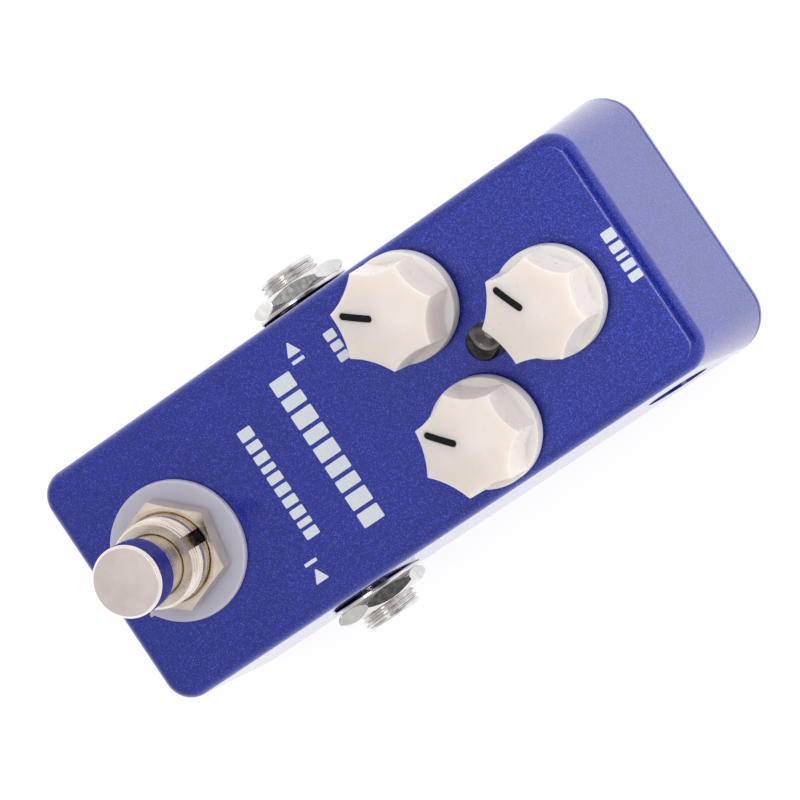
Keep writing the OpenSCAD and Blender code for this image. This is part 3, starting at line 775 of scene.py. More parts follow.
def at_switch(bm, z=0.0):
    return moved(bm, SWITCH.x, SWITCH.y, z)


def nylon_washer():
    z0, z1 = span("footswitch_nylon_washer")
    outer = half_size("footswitch_nylon_washer").x
    disc = tube(outer, BUSHING_R + 0.15, z0, z1, 0.28, 128)
    # the small nub where the washer was cut from its mould
    nub_a = math.radians(-58)
    nub = moved(block((0.5, 0.8, z1 - z0 - 0.3), (0, 0, 0), 0.1),
                (outer + 0.02) * math.cos(nub_a), (outer + 0.02) * math.sin(nub_a), (z0 + z1) / 2)
    washer = carve(disc, [nub], "UNION")
    piece("switch_nylon_washer", at_switch(washer), "nylon", "footswitch_nylon_washer")


def lock_washer():
    node = "footswitch_lock_washer"
    washer = toothed_washer(high(node).x - SWITCH.x, BUSHING_R + 0.15, *span(node))
    piece("switch_lock_washer", at_switch(washer), "dull_nickel", node)


def switch_nuts():
    """The nut on the panel, and the one inside the case that the panel is held against."""
    nuts = (("switch_nut", "footswitch_nut", NUT_AF, NUT_TURN, False),
            ("switch_inner_nut", "footswitch_inner_nut", INNER_NUT_AF, 0, True))
    for name, node, flats, turn, both in nuts:
        z0, z1 = span(node)
        nut = hex_nut(flats, BUSHING_R + 0.02, z1 - z0, turn, both=both)
        piece(name, at_switch(nut, z0), "nickel", node, sharp=20)


def keyed_ring(z, limit, thread_depth, pitch=0.75):
    """One ring of the bushing's threaded skin, with the flat floor of the keyway towards +Y."""
    points = []
    edge = math.asin(KEY_HALF / BUSHING_R)
    for k in range(KEYED_COUNT + 1):
        a = edge + (2 * math.pi - 2 * edge) * k / KEYED_COUNT
        r = min(limit, thread_radius(BUSHING_R, thread_depth, pitch, a, z))
        x, y = r * math.sin(a), r * math.cos(a)
        if k in (0, KEYED_COUNT):
            x = math.copysign(KEY_HALF, x)
            y = math.sqrt(r * r - x * x)
        points.append((x, y, z))
    return points + [(x, KEY_FLOOR, z) for x in (-KEY_HALF, 0, KEY_HALF)]


def square_ring(half, z):
    """A square with rounded corners that has the same points as a keyed ring."""
    corner_r = half * 1.36
    points = []
    for x, y, _ in keyed_ring(z, BUSHING_R, 0):
        a = math.atan2(x, y)
        r = min(half / max(abs(math.sin(a)), abs(math.cos(a))), corner_r)
        points.append((r * math.sin(a), r * math.cos(a), z))
    return points


def bushing():
    """The threaded bushing on its square flange, with a keyway down one side and a bore for the neck."""
    z0, z1 = span("footswitch_bushing")
    half = half_size("footswitch_bushing").x
    flange_t = 0.7
    chamfer = 0.4
    bevel = 0.2
    thread_depth = 0.24
    deep_from, wear = 2.6, 0.8      # the thread is full over this length from the top and worn below
    rows = 132
    rings = [square_ring(half - bevel, z0), square_ring(half, z0 + bevel),
             square_ring(half, z0 + flange_t - bevel), square_ring(half - bevel, z0 + flange_t)]
    thread_z = z0 + flange_t
    for k in range(rows + 1):
        z = thread_z + (z1 - chamfer - thread_z) * k / rows
        worn = min(max(z1 - deep_from - z, 0), 1)
        rings.append(keyed_ring(z, BUSHING_R, thread_depth * (1 - wear * worn)))
    for share in (0.5, 1.0):
        rings.append(keyed_ring(z1 - chamfer * (1 - share), BUSHING_R - chamfer * share, thread_depth))
    key_edge = math.atan2(KEY_HALF, KEY_FLOOR)
    bore_edge = key_edge + 0.03
    angles = [bore_edge + (2 * math.pi - 2 * bore_edge) * k / KEYED_COUNT for k in range(KEYED_COUNT + 1)]
    angles += [-key_edge, 0, key_edge]
    for inner_r, z in ((NECK_BORE_R + bevel, z1), (NECK_BORE_R, z1 - bevel), (NECK_BORE_R, z0)):
        rings.append([(inner_r * math.sin(a), inner_r * math.cos(a), z) for a in angles])
    barrel = loft(rings, capped=False)
    piece("switch_bushing", at_switch(barrel), "turned_nickel", "footswitch_bushing", sharp=38)


def plunger():
    """The button's stem: a stop collar under the bushing, a neck through it and a spigot for the cap."""
    z0, z1 = span("footswitch_plunger")
    stop_r = high("footswitch_plunger").x - SWITCH.x
    stop_t, spigot_h, spigot_r = 1.6, 3.0, 3.0
    cap_z = low("footswitch_cap").z
    neck_z = cap_z - 0.02
    profile = [(0, z0), (stop_r, z0, 0.2), (stop_r, z0 + stop_t, 0.2), (NECK_R, z0 + stop_t),
               (NECK_R, neck_z), (spigot_r, neck_z), (spigot_r, cap_z + spigot_h), (0, z1)]
    shape = turned(profile)
    piece("switch_plunger", at_switch(shape), "turned_nickel", "footswitch_plunger", body="switch_button")


def cap():
    """The flat chromed cap that is pressed, with a bevelled rim and a hole for the spigot."""
    node = "footswitch_cap"
    z0, z1 = span(node)
    radius = half_size(node).x
    rim = 0.38
    hole_r, hole_z = 3.02, z0 + 3.02
    profile = [(0, z1), (radius - rim, z1, 0.1), (radius, z1 - rim, 0.16), (radius, z0, 0.25),
               (hole_r, z0, 0.1), (hole_r, hole_z), (0, hole_z)]
    shape = at_switch(turned(profile, 128, steps=4))
    piece("switch_cap", shape, "bright_chrome", node, body="switch_button", sharp=50)


def spring():
    """A coil whose last turns lie flat."""
    z0, z1 = span("footswitch_spring")
    wire, turns, sides, per_turn = 0.28, 4, 10, 40
    coil_r = half_size("footswitch_spring").x - wire
    sections = []
    for k in range(turns * per_turn + 1):
        share = k / (turns * per_turn)
        a = 2 * math.pi * turns * share
        rise = (z1 - z0 - 2 * wire) * (3 * share ** 2 - 2 * share ** 3) ** 0.8
        around = [(coil_r + x, z0 + wire + rise + y) for x, y, _ in circle(wire, 0, sides)]
        sections.append([(r * math.cos(a), r * math.sin(a), z) for r, z in around])
    coil = piece("switch_spring", at_switch(loft(sections)), "spring_steel", "footswitch_spring")
    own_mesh(coil)


def housing():
    """The switch's body: a block with a chamber for the button, and three grooves down two sides."""
    node = "footswitch_housing"
    size, middle, top_z = half_size(node) * 2, centre(node), high(node).z
    chamber_r, chamber_h = 5.3, 7.2
    groove_w, groove_l, gap, margin = 0.5, 2.2, 4.8, 1.5
    chamber = at_switch(rod(chamber_r, top_z - chamber_h, top_z + THROUGH, 0))
    grooves = []
    for sx in (-1, 1):
        for k in (-1, 0, 1):
            spot = (sx * size.x / 2, SWITCH.y + k * gap, middle.z)
            grooves.append(block((groove_w, groove_l, size.z - 2 * margin), spot, 0.1))
    body = carve(carve(block(size, middle, 0.5), [chamber]), grooves)
    piece("switch_housing", body, "blue_plastic", node)


# ---- knobs ----

def pointer_direction(body):
    """Where a knob's pointer looks at rest, from how far the knob can still turn."""
    spare = JOINTS[body + "_turn"]["range_deg"][1]
    return NOON + KNOB_HALF_TURN - spare


def star_section(tip_r, z, flute_r, flute_x, arc=16, blunt=4):
    """The grip's outline: concave flutes that meet in rounded tips, the first tip along +X."""
    half = math.pi / KNOB_POINTS
    along = flute_x * math.cos(half)
    tip = (tip_r ** 2 - 2 * tip_r * along + flute_x ** 2 - flute_r ** 2) / (2 * (flute_r + tip_r - along))
    tip_x = tip_r - tip
    towards = math.atan2(flute_x * math.sin(half), flute_x * math.cos(half) - tip_x)
    spread = math.atan2(tip_x * math.sin(half), flute_x - tip_x * math.cos(half))
    points = []
    for k in range(KNOB_POINTS):
        turn = 2 * half * k
        for i in range(blunt + 1):
            a = -towards + 2 * towards * i / blunt
            point = Vector((tip_x + tip * math.cos(a), tip * math.sin(a)))
            points.append(Matrix.Rotation(turn, 2) @ point)
        for i in range(1, arc):
            a = math.pi + spread - 2 * spread * i / arc
            point = Vector((flute_x + flute_r * math.cos(a), flute_r * math.sin(a)))
            points.append(Matrix.Rotation(turn + half, 2) @ point)
    return [(p.x, p.y, z) for p in points]


def knob_face(top_z):
    """The height of a knob's domed face at a distance from its axis."""
    radius = (KNOB_TIP_R ** 2 + KNOB_CROWN ** 2) / (2 * KNOB_CROWN)
    return lambda r: top_z - radius + math.sqrt(radius ** 2 - r ** 2)


def rescaled(points, new_radius, new_z):
    """Points whose distance from the axis and height are worked out from their old distance."""
    out = []
    for x, y, _ in points:
        r = math.hypot(x, y)
        out.append((x / r * new_radius(r), y / r * new_radius(r), new_z(r)))
    return out


def knob_shape(z0, top_z, skirt_r):
    """A fluted grip with a domed face on a round skirt, hollow below."""
    face = knob_face(top_z)
    floor_z = z0 + 2.5                # top of the skirt at its rim
    slope = 0.4                       # how far the floor of a flute rises towards the grip
    valley_r = 5.88
    flare = 0.22
    half_chord = KNOB_TIP_R * math.sin(math.pi / KNOB_POINTS) - 0.12
    depth = KNOB_TIP_R * math.cos(math.pi / KNOB_POINTS) - valley_r
    flute_r = (half_chord ** 2 + depth ** 2) / (2 * depth)
    flute_x = valley_r + flute_r
    edge = 0.14

    top = star_section(KNOB_TIP_R, 0, flute_r, flute_x)
    sections = []
    for share in (0.03, 0.15, 0.3, 0.45, 0.6, 0.75, 0.88):
        sections.append(rescaled(top, lambda r: r * share, lambda r: face(r * share)))
    for sine, cosine in quarter(3):
        inset = edge * (1 - sine)
        drop = edge * (1 - cosine)
        sections.append(rescaled(top, lambda r: r - inset, lambda r: face(r - inset) - drop))

    def flute_floor(r):
        return floor_z + slope * (skirt_r - r) / (skirt_r - valley_r)

    cove = 0.35
    for share in (0.35, 0.7):
        grow = 1 + flare * share / KNOB_TIP_R
        sections.append(rescaled(top, lambda r: r * grow,
                                 lambda r: face(r) + (flute_floor(r * grow) + cove - face(r)) * share))
    foot = rescaled(top, lambda r: r * (1 + flare / KNOB_TIP_R), lambda r: 0)
    for sine, cosine in quarter(3):
        sections.append(rescaled(foot, lambda r: r + min(cove, (skirt_r - r) * 0.5) * (1 - cosine),
                                 lambda r: flute_floor(r) + min(cove, (skirt_r - r) * 2) * (1 - sine)))
    rim_r = 0.16
    for sine, cosine in quarter(3):
        sections.append(rescaled(foot, lambda r: skirt_r - min(rim_r, (skirt_r - r) * 0.4) * (1 - sine),
                                 lambda r: floor_z - rim_r * (1 - cosine)))
    recess_r, recess_top = 5.75, z0 + 2.7
    bore_r, bore_top = SHAFT_R + 0.01, face(KNOB_TIP_R) - 1.6
    below = [(skirt_r, z0 + 0.12), (skirt_r - 0.12, z0), (recess_r + 0.15, z0), (recess_r, z0 + 0.15),
             (recess_r, recess_top), (bore_r, recess_top), (bore_r, bore_top), (0.2, bore_top)]
    for radius, z in below:
        sections.append(rescaled(foot, lambda r: radius, lambda r: z))
    return loft(sections)


def pointer_bar(face, width, cross_section, ends=8, middles=12):
    """A round-ended bar along +X under the domed face, its cross section given by its half width."""
    half = width / 2
    stations = []
    for k in range(1, ends + 1):
        a = math.pi / 2 * k / ends
        stations.append((POINTER_FROM + half * (1 - math.cos(a)), half * math.sin(a)))
    length = POINTER_TO - POINTER_FROM - width
    for k in range(1, middles):
        stations.append((POINTER_FROM + half + length * k / middles, half))
    stations += [(POINTER_FROM + POINTER_TO - x, w) for x, w in stations[ends - 1::-1]]
    return loft([[(x, y, face(x) + z) for y, z in cross_section(w)] for x, w in stations])


def groove_section(w):
    """The groove's walls, rounded over where they meet the face."""
    right = [(w, -GROOVE_DEPTH), (w, -0.08), (w + 0.06, 0.01), (w + 0.06, 0.4)]
    return right + [(-y, z) for y, z in right[::-1]]


def inlay_section(w):
    """The inlay, its upper edges rounded."""
    half = w * 0.96
    right = [(half, 0.01 - GROOVE_DEPTH), (half, -0.2), (half * 0.9, -0.12), (half * 0.6, -0.08)]
    return right + [(-y, z) for y, z in right[::-1]]


def knobs():
    for side, body in KNOBS.items():
        node = "knob_" + side
        axis = centre(node)
        top_z = high(node).z
        skirt_r = half_size(node).x
        turn = Matrix.Rotation(math.radians(pointer_direction(body)), 4, "Z")
        stand = Matrix.Translation((axis.x, axis.y, 0)) @ turn
        groove = pointer_bar(knob_face(top_z), POINTER_W, groove_section)
        shape = carve(knob_shape(low(node).z, top_z, skirt_r), [groove])
        piece("knob_grip_" + side, placed(shape, stand), "knob_plastic", node, body=body, sharp=34)
        inlay = pointer_bar(knob_face(top_z), POINTER_W, inlay_section)
        piece("knob_pointer_" + side, placed(inlay, stand), "black_inlay", "pointer_" + side, body=body)


def shafts():
    """Knurled, slotted shafts on the rotors of the potentiometers."""
    knurls, knurl_depth = 18, 0.24
    count = knurls * 8
    for side, body in KNOBS.items():
        node = "pot_shaft_" + side
        axis = centre(node)
        z0, z1 = span(node)
        rotor_r, rotor_t = half_size(node).x, 1.0
        rotor = [(0, z0), (rotor_r, z0, 0.15), (rotor_r, z0 + rotor_t, 0.15), (SHAFT_R - 0.3, z0 + rotor_t),
                 (0, z0 + rotor_t + 0.2)]
        knurl_from = low("knob_" + side).z + 2.7
        full_r = SHAFT_R - 0.01
        rows = [(full_r, z0 + 0.5, 0), (full_r, knurl_from, 0), (full_r, knurl_from + 0.3, 1),
                (full_r, z1 - 0.5, 1), (SHAFT_R - 0.45, z1, 0.4)]
        sections = []
        for r, z, share in rows:
            wave = knurl_depth / 2 * share
            sections.append(ring(z, count, lambda a: r - wave * (1 - math.cos(knurls * a))))
        shape = carve(loft(sections), [turned(rotor, 48)], "UNION")
        slot = block((8, 0.8, 6), (0, 0, z1), 0)
        shape = moved(carve(shape, [slot]), axis.x, axis.y)
        piece("shaft_" + side, shape, "dull_nickel", node, body=body, sharp=25)


def pot_fasteners():
    """The nuts and washers that hold the potentiometers, hidden in the hollow of the knobs."""
    nut_af, washer_r = 9.5, 5.2
    nuts, washers = [], []
    z0, z1 = span("pot_nuts")
    w0, w1 = span("pot_washers")
    for side in KNOBS:
        axis = centre("knob_" + side)
        nuts.append(moved(hex_nut(nut_af, POT_BUSHING_R + 0.02, z1 - z0), axis.x, axis.y, z0))
        washers.append(moved(tube(washer_r, POT_BUSHING_R + 0.1, w0, w1, 0.08, 64), axis.x, axis.y))
    piece("pot_nut_set", joined(nuts), "nickel", "pot_nuts", sharp=20)
    piece("pot_washer_set", joined(washers), "dull_nickel", "pot_washers")


# ---- lamp ----

def lamp():
    z0, z1 = span("lamp_lens")
    outer = half_size("lamp_lens").x
    flange_t = 1.1
    dome_z = z1 - LAMP_R
    profile = [(0, z0), (outer, z0, 0.1), (outer, z0 + flange_t, 0.1), (LAMP_R, z0 + flange_t)]
    for sine, cosine in quarter(18)[:-1]:
        profile.append((LAMP_R * cosine, dome_z + LAMP_R * sine))
    profile.append((0, z1))
    lens = moved(turned(profile, 64), LAMP.x, LAMP.y)
    piece("lamp_dome", lens, "smoked_lens", "lamp_lens", sharp=50)
    # the two posts cast into the lens: a cup that holds the chip, and the slimmer one beside it
    cup_z = z0 + 3.4
    cup = lathe([(0, z0 + 0.3), (0.25, z0 + 0.3), (0.3, cup_z - 1), (1.0, cup_z - 0.4), (1.05, cup_z + 0.4),
                 (0.85, cup_z + 0.4), (0.4, cup_z - 0.05), (0, cup_z - 0.05)], 32)
    post = block((0.5, 0.7, cup_z - z0), (1.55, 0, (cup_z + z0) / 2 + 0.3), 0.1)
    frame_parts = joined([moved(cup, -0.35, 0), post])
    piece("lamp_posts", moved(frame_parts, LAMP.x, LAMP.y), "dull_nickel")


# ---- jacks and DC socket ----

def threaded_sleeve(z0, z1, radius, bore, pitch, depth, count=96):
    """A threaded sleeve about Z with a rounded, chamfered end at z1."""
    chamfer = 0.45
    per_pitch = 12
    rows = int((z1 - chamfer - z0) / pitch * per_pitch)
    sections = []
    for k in range(rows + 1):
        z = z0 + (z1 - chamfer - z0) * k / rows
        limit = radius - chamfer + (z1 - z) * 1.2
        sections.append(ring(z, count, lambda a: min(thread_radius(radius, depth, pitch, a, z), limit)))
    end = [(radius - depth * 0.75, z1 - 0.32), (radius - depth * 0.9, z1 - 0.1), (radius - depth - 0.12, z1),
           (bore + 0.22, z1), (bore + 0.05, z1 - 0.14), (bore, z1 - 0.4), (bore, z0)]
    sections += [circle(r, z, count) for r, z in end]
    return loft(sections, capped=False)


def reach(side, node):
    """Where a node starts and ends, as distances from the case's middle to one side."""
    return sorted((side * low(node).x, side * high(node).x))


def jack(side, name, y):
    """The parts of a jack that show in the wall: its threaded sleeve, its washer and its nut."""
    matrix = port(side, y)
    sleeve, washer, nut = [name + "_jack_" + part for part in ("sleeve", "washer", "nut")]
    pitch, thread_depth, flange_t = 0.72, 0.42, 1
    z0, z1 = reach(side, sleeve)
    flange = tube(half_size(sleeve).y, SLEEVE_R - 0.5, z0, z0 + flange_t, 0.1)
    barrel = threaded_sleeve(z0, z1, SLEEVE_R, PLUG_R, pitch, thread_depth)
    barrel = carve(barrel, [flange], "UNION")
    piece(name + "_sleeve", placed(barrel, matrix), "jack_nickel", sleeve, sharp=50)
    z0, z1 = reach(side, washer)
    disc = tube(half_size(washer).y, SLEEVE_R + 0.1, z0, z1, 0.1)
    piece(name + "_washer", placed(disc, matrix), "jack_nickel", washer)
    z0, z1 = reach(side, nut)
    turn = 30 - side * JACK_NUT_TURN[name]
    hexagon = moved(hex_nut(JACK_NUT_AF, SLEEVE_R + 0.02, z1 - z0, turn, slope=36), 0, 0, z0)
    piece(name + "_nut", placed(hexagon, matrix), "jack_nickel", nut, sharp=20)


def dc_socket():
    """The power socket: a block on the board, with a collar in the wall and a bore round its pin."""
    node = "dc_socket_body"
    matrix = port(1, DC_Y)
    face, back = high(node).x, low(node).x
    block_face = 16.4
    bore_floor = 8.5
    seat_r, seat_from = 1.05, 4.5
    z0, z1 = low(node).z, low("main_board").z
    body = block((block_face - back, half_size(node).y * 2, z1 - z0),
                 ((block_face + back) / 2, DC_Y, (z0 + z1) / 2), 0.25)
    collar = placed(rod(DC_R, block_face - THROUGH, face, 0.2), matrix)
    bore = [(0, bore_floor), (DC_BORE_R, bore_floor), (DC_BORE_R, face - 0.4), (DC_BORE_R + 0.6, face + 0.2),
            (0, face + 0.2)]
    pin_seat = rod(seat_r, seat_from, bore_floor + 1.5, 0, 48)
    shape = carve(body, [collar], "UNION")
    shape = carve(shape, [placed(lathe(bore), matrix), placed(pin_seat, matrix)])
    piece("dc_socket", shape, "black_plastic", node, sharp=30)


def dc_pin():
    """The pin in the power socket, its tip a half ball."""
    node = "dc_socket_pin"
    radius = half_size(node).y
    tip_x = high(node).x - radius
    profile = [(0, low(node).x), (radius, low(node).x, 0.1), (radius, tip_x)]
    profile += [(radius * cosine, tip_x + radius * sine) for sine, cosine in quarter(9)[1:-1]]
    profile.append((0, high(node).x))
    piece("dc_pin", placed(turned(profile, 48), port(1, DC_Y)), "nickel", node)


# ---- parts under the panel ----

def steps_along(path):
    """Each point of a path, with the direction in which the path runs on there."""
    for before, here, after in zip([path[0], *path], path, [*path[1:], path[-1]]):
        yield here, (after - before).normalized()


def swept(points, radius, bend, count=14, steps=7):
    """A round wire along a line of points, bent round at its corners."""
    path = [Vector(points[0])]
    for last, here, following in zip(points, points[1:], points[2:]):
        here = Vector(here)
        start = here + (Vector(last) - here).normalized() * bend
        end = here + (Vector(following) - here).normalized() * bend
        for k in range(steps + 1):
            t = k / steps
            path.append(start * (1 - t) ** 2 + here * 2 * t * (1 - t) + end * t ** 2)
    path.append(Vector(points[-1]))
    sections = []
    side = Vector((0.3, 0.5, 0.8))
    for here, ahead in steps_along(path):
        side = (side - ahead * side.dot(ahead)).normalized()
        across = ahead.cross(side)
        sections.append([here + side * x + across * y for x, y, _ in circle(radius, 0, count)])
    return loft(sections)


def ribbon_cable():
    """Six wires moulded side by side, bent up to a board at each end."""
    wires = solids("ribbon_cable")
    radius = wires[0].size.x / 2
    y0, y1 = wires[0].low.y + radius, wires[0].high.y - radius
    z, bend_r, gap = wires[0].low.z + radius, 1.2, 0.02
    path = fillet([(y0, low("footswitch_board").z - gap), (y0, z, bend_r), (y1, z, bend_r),
                   (y1, low("main_board").z - gap)], closed=False)
    rises = [math.radians(a) for a in (20, 50, 90, 130, 160)]
    upper = [(wire.middle.x - radius * math.cos(a), radius * math.sin(a)) for wire in wires for a in rises]
    outline = upper + [(x, -h) for x, h in upper[::-1]]
    sections = []
    for here, ahead in steps_along([Vector(point) for point in path]):
        sections.append([(x, here.x - ahead.y * h, here.y + ahead.x * h) for x, h in outline])
    piece("ribbon_lead", loft(sections), "cable_grey", "ribbon_cable", sharp=60)


def hookup_wires():
    """Two wires from each jack's lugs to the near edge of the main board, as the CAD runs them."""
    wire_r, bend_r = 0.49, 0.55
    board_z, board_top = span("main_board")
    end_y = low("main_board").y + 1
    drop = half_size("output_jack_body").z - 1.3      # from the port's axis to a lug
    over_z = 21.6             # height at which the wires of the input cross over
    out_x, in_x = high("output_jack_contacts").x, low("input_jack_contacts").x
    wires = []
    for s in (-1, 1):
        lug_z = PORT_Z + s * drop
        for lug_x, x, y, z, end_z in ((out_x, out_x + 1.2 + s * 0.6, OUTPUT_Y, PORT_Z + s, board_z),
                                      (in_x, in_x - 1.5 + s * 0.8, INPUT_Y, over_z + s, board_top)):
            wires.append([(lug_x, y, lug_z), (x, y, lug_z), (x, y, z), (x, end_y, z), (x, end_y, end_z)])
    piece("jack_wires", joined([swept(wire, wire_r, bend_r) for wire in wires]), "cable_red", "hookup_wires",
          sharp=60)


def potentiometers():
    """A folded metal can with a threaded bushing and a room inside for the rotor."""
    fold, fold_x = (1.0, 0.5, 2.4), 2.4
    room_r, room_below, room_above = 4.4, 0.2, 2.8
    bore_r, pitch, thread_depth = SHAFT_R + 0.05, 0.6, 0.2
    for side in KNOBS:
        node = "potentiometer_" + side
        floor_z, top_z = span(node)
        axis = centre("knob_" + side)
        half = half_size(node)
        can = block((half.x * 2, half.y * 2, CEILING_Z - floor_z), (0, 0, (CEILING_Z + floor_z) / 2), 0.35)
        rotor_z = low("pot_shaft_" + side).z
        cutters = [block(fold, (x, y, floor_z), 0) for x, y in corners_of(fold_x, half.y)]
        cutters.append(rod(room_r, rotor_z - room_below, rotor_z + room_above, 0.1, 64))
        cutters.append(rod(bore_r, rotor_z, CEILING_Z + THROUGH, 0))
        neck = threaded_sleeve(CEILING_Z - 0.4, top_z, POT_BUSHING_R, bore_r, pitch, thread_depth)
        body = carve(carve(can, cutters), [neck], "UNION")
        piece("pot_body_" + side, moved(body, axis.x, axis.y), "dull_nickel", node, sharp=40)


def capacitors():
    """Electrolytic capacitors that hang from the board: shrunk sleeves over metal cans."""
    sleeves, ends = [], []
    for box in solids("capacitors"):
        radius = box.size.x / 2
        z0, z1 = box.low.z, box.high.z
        neck_z, neck_half, neck_depth = z1 - 1.25, 0.45, 0.3      # where the can is rolled in
        sleeve = [(0, z0 + 0.15), (radius - 0.5, z0 + 0.15, 0.1), (radius - 0.45, z0, 0.1),
                  (radius, z0 + 0.02, 0.4), (radius, neck_z - neck_half, 0.4),
                  (radius - neck_depth, neck_z, 0.4), (radius, neck_z + neck_half, 0.4),
                  (radius, z1, 0.3), (0, z1)]
        end = [(0, z0 + 0.12), (1.2, z0 + 0.12), (radius - 0.9, z0 + 0.05, 0.1),
               (radius - 0.62, z0 + 0.05, 0.08), (radius - 0.62, z0 + 0.3), (0, z0 + 0.3)]
        sleeves.append(moved(turned(sleeve, 48), box.middle.x, box.middle.y))
        ends.append(moved(turned(end, 48), box.middle.x, box.middle.y))
    piece("capacitor_sleeves", joined(sleeves), "capacitor_sleeve", "capacitors", sharp=50)
    piece("capacitor_ends", joined(ends), "nickel")


def chips():
    """Moulded packages with a notch and a dot at one end."""
    waist = 0.25
    notch_r, dot_r, dot_x, dot_y = 0.8, 0.4, -2, -3.4
    packages = []
    for box in solids("chips"):
        half = box.size / 2
        sections = []
        for z, inset in ((box.low.z, waist), (box.middle.z, 0), (box.high.z, waist)):
            sections.append(box_section(half.x - inset, half.y - inset, 0.15, z, steps=2))
        notch = moved(rod(notch_r, box.low.z - THROUGH, box.low.z + 0.5, 0, 24), 0, -half.y)
        dot = moved(rod(dot_r, box.low.z - THROUGH, box.low.z + 0.12, 0, 20), dot_x, dot_y)
        packages.append(moved(carve(loft(sections), [notch, dot]), box.middle.x, box.middle.y))
    piece("chip_packages", joined(packages), "black_plastic", "chips", sharp=25)


def chip_legs():
    """Legs that leave the package flat, turn up and narrow where they enter the board."""
    thick, wide, narrow = 0.24, 1.1, 0.5
    legs = []
    for box in solids("chip_legs"):
        package = min(solids("chips"), key=lambda other: abs(other.middle.x - box.middle.x))
        out = math.copysign(box.size.x / 2 - 0.13, box.middle.x - package.middle.x)
        x, y = box.middle.x + out, box.middle.y
        lower, upper = box.size.z * 0.45, box.size.z * 0.6
        legs.append(block((thick, wide, lower), (x, y, box.low.z + lower / 2), 0.05))
        legs.append(block((thick, narrow, upper), (x, y, box.high.z - upper / 2), 0.05))
        legs.append(block((box.size.x, wide, thick), (box.middle.x, y, box.low.z + thick / 2), 0.05))
    piece("chip_leg_set", joined(legs), "tinned_lugs", "chip_legs", sharp=40)


def resistors():
    """Resistors with swollen ends and leads bent up to the board."""
    lead_r, lead_out = 0.28, 1.0
    bodies, leads = [], []
    for box in solids("resistors"):
        radius, length = box.size.z / 2, box.size.x
        waist = radius * 0.84
        profile = [(0, 0), (radius * 0.7, 0, 0.3), (radius, 0.5, 0.4), (radius, 1.3, 0.4), (waist, 1.9, 0.3),
                   (waist, length - 1.9, 0.3), (radius, length - 1.3, 0.4), (radius, length - 0.5, 0.4),
                   (radius * 0.7, length, 0.3), (0, length)]
        y, z = box.middle.y, box.middle.z
        bodies.append(placed(turned(profile, 40), lying("Y", box.low.x, y, z)))
        for end, out in ((box.low.x, -1), (box.high.x, 1)):
            bend_x = end + out * lead_out
            line = [(end - out * 0.2, y, z), (bend_x, y, z), (bend_x, y, low("main_board").z + 0.4)]
            leads.append(swept(line, lead_r, 0.5, 10))
    piece("resistor_bodies", joined(bodies), "resistor_body", "resistors", sharp=50)
    piece("resistor_leads", joined(leads), "tinned_lugs", sharp=50)


def eye(radius, axis, x, y, z):
    """The cutter for a hole through a thin lug."""
    return placed(rod(radius, -THROUGH, THROUGH, 0, 20), lying(axis, x, y, z))


def pierced(box, bore_r, bore_up, axis, edge):
    """A flat solder lug with a hole near its lower end."""
    hole = eye(bore_r, axis, box.middle.x, box.middle.y, box.low.z + bore_up)
    return carve(block(box.size, box.middle, edge), [hole])


def terminals():
    """The lugs of the foot switch and the power socket, and the leads of the lamp."""
    lugs = [pierced(box, 0.5, 1.3, "X", 0.12) for box in solids("footswitch_lugs")]
    tags = [pierced(box, 0.45, 0.9, "Y", 0.08) for box in solids("dc_socket_contacts")]
    leads = [block(box.size, box.middle, 0.08) for box in solids("lamp_leads")]
    piece("switch_lugs", joined(lugs), "tinned_lugs", "footswitch_lugs", sharp=40)
    piece("dc_tags", joined(tags), "tinned_lugs", "dc_socket_contacts", sharp=40)
    piece("lamp_lead_pair", joined(leads), "tinned_lugs", "lamp_leads", sharp=40)


def jack_case(side, name, y):
    """The jack's plastic body, hollowed for the plug, the flange and the tip's contact."""
    node = name + "_jack_body"
    inner, outer = reach(side, node)
    half = half_size(node).z
    shell = block((half * 2, half * 2, outer - inner), (0, 0, (inner + outer) / 2), 0.5)
    floor_t, seat_t = 1, 1
    cutters = [rod(PLUG_R + 0.25, inner + floor_t, outer + THROUGH, 0),
               rod(half_size(name + "_jack_sleeve").y, outer - 2 * seat_t, outer - seat_t, 0),
               rod(SLEEVE_R + 0.01, outer - seat_t - 0.01, outer + THROUGH, 0)]
    room_x, room_y, room_z, room_wall = half - 2, 2.6, 10, 0.8
    middle = (-half + room_wall + room_x / 2, 0, inner + room_z / 2 - 0.01)
    cutters.append(block((room_x, room_y, room_z), middle, 0))
    groove, gap = (half * 1.4, 0.8, 2.4), 4
    for s in (-1, 1):
        cutters += [block(groove, (0, s * half, inner + 5 + gap * k), 0.1) for k in range(4)]
    piece(name + "_jack_case", placed(carve(shell, cutters), port(side, y)), "black_plastic", node, sharp=30)


def jack_contacts(side, name, y):
    """The tip's spring and the sleeve's lug, both with a hole for a wire."""
    node = name + "_jack_contacts"
    case_node = name + "_jack_body"
    inner = reach(side, case_node)[0]
    tail = reach(side, node)[0]
    half_w, half_t = 1.1, 0.2
    lug_x = half_size(case_node).z - 1.3
    blade_x = -lug_x
    bend_r = 0.3
    outline = fillet([(-half_t, tail), (half_t, tail), (half_t, inner + 3.8, bend_r),
                      (1.6, inner + 4.2, bend_r), (0.4, inner + 9), (-half_t, inner + 9)], steps=4)
    blade = loft([[(blade_x + x, h, z) for x, z in outline] for h in (-half_w, half_w)])
    lug = block((half_t * 2, half_w * 2, inner - tail), (lug_x, 0, (tail + inner) / 2), 0.08)
    parts = [carve(part, [eye(0.55, "Y", x, 0, tail + 1.2)])
             for part, x in ((blade, blade_x), (lug, lug_x))]
    piece(name + "_jack_springs", placed(joined(parts), port(side, y)), "tinned_lugs", node, sharp=40)


# ---- generic print on the panel ----

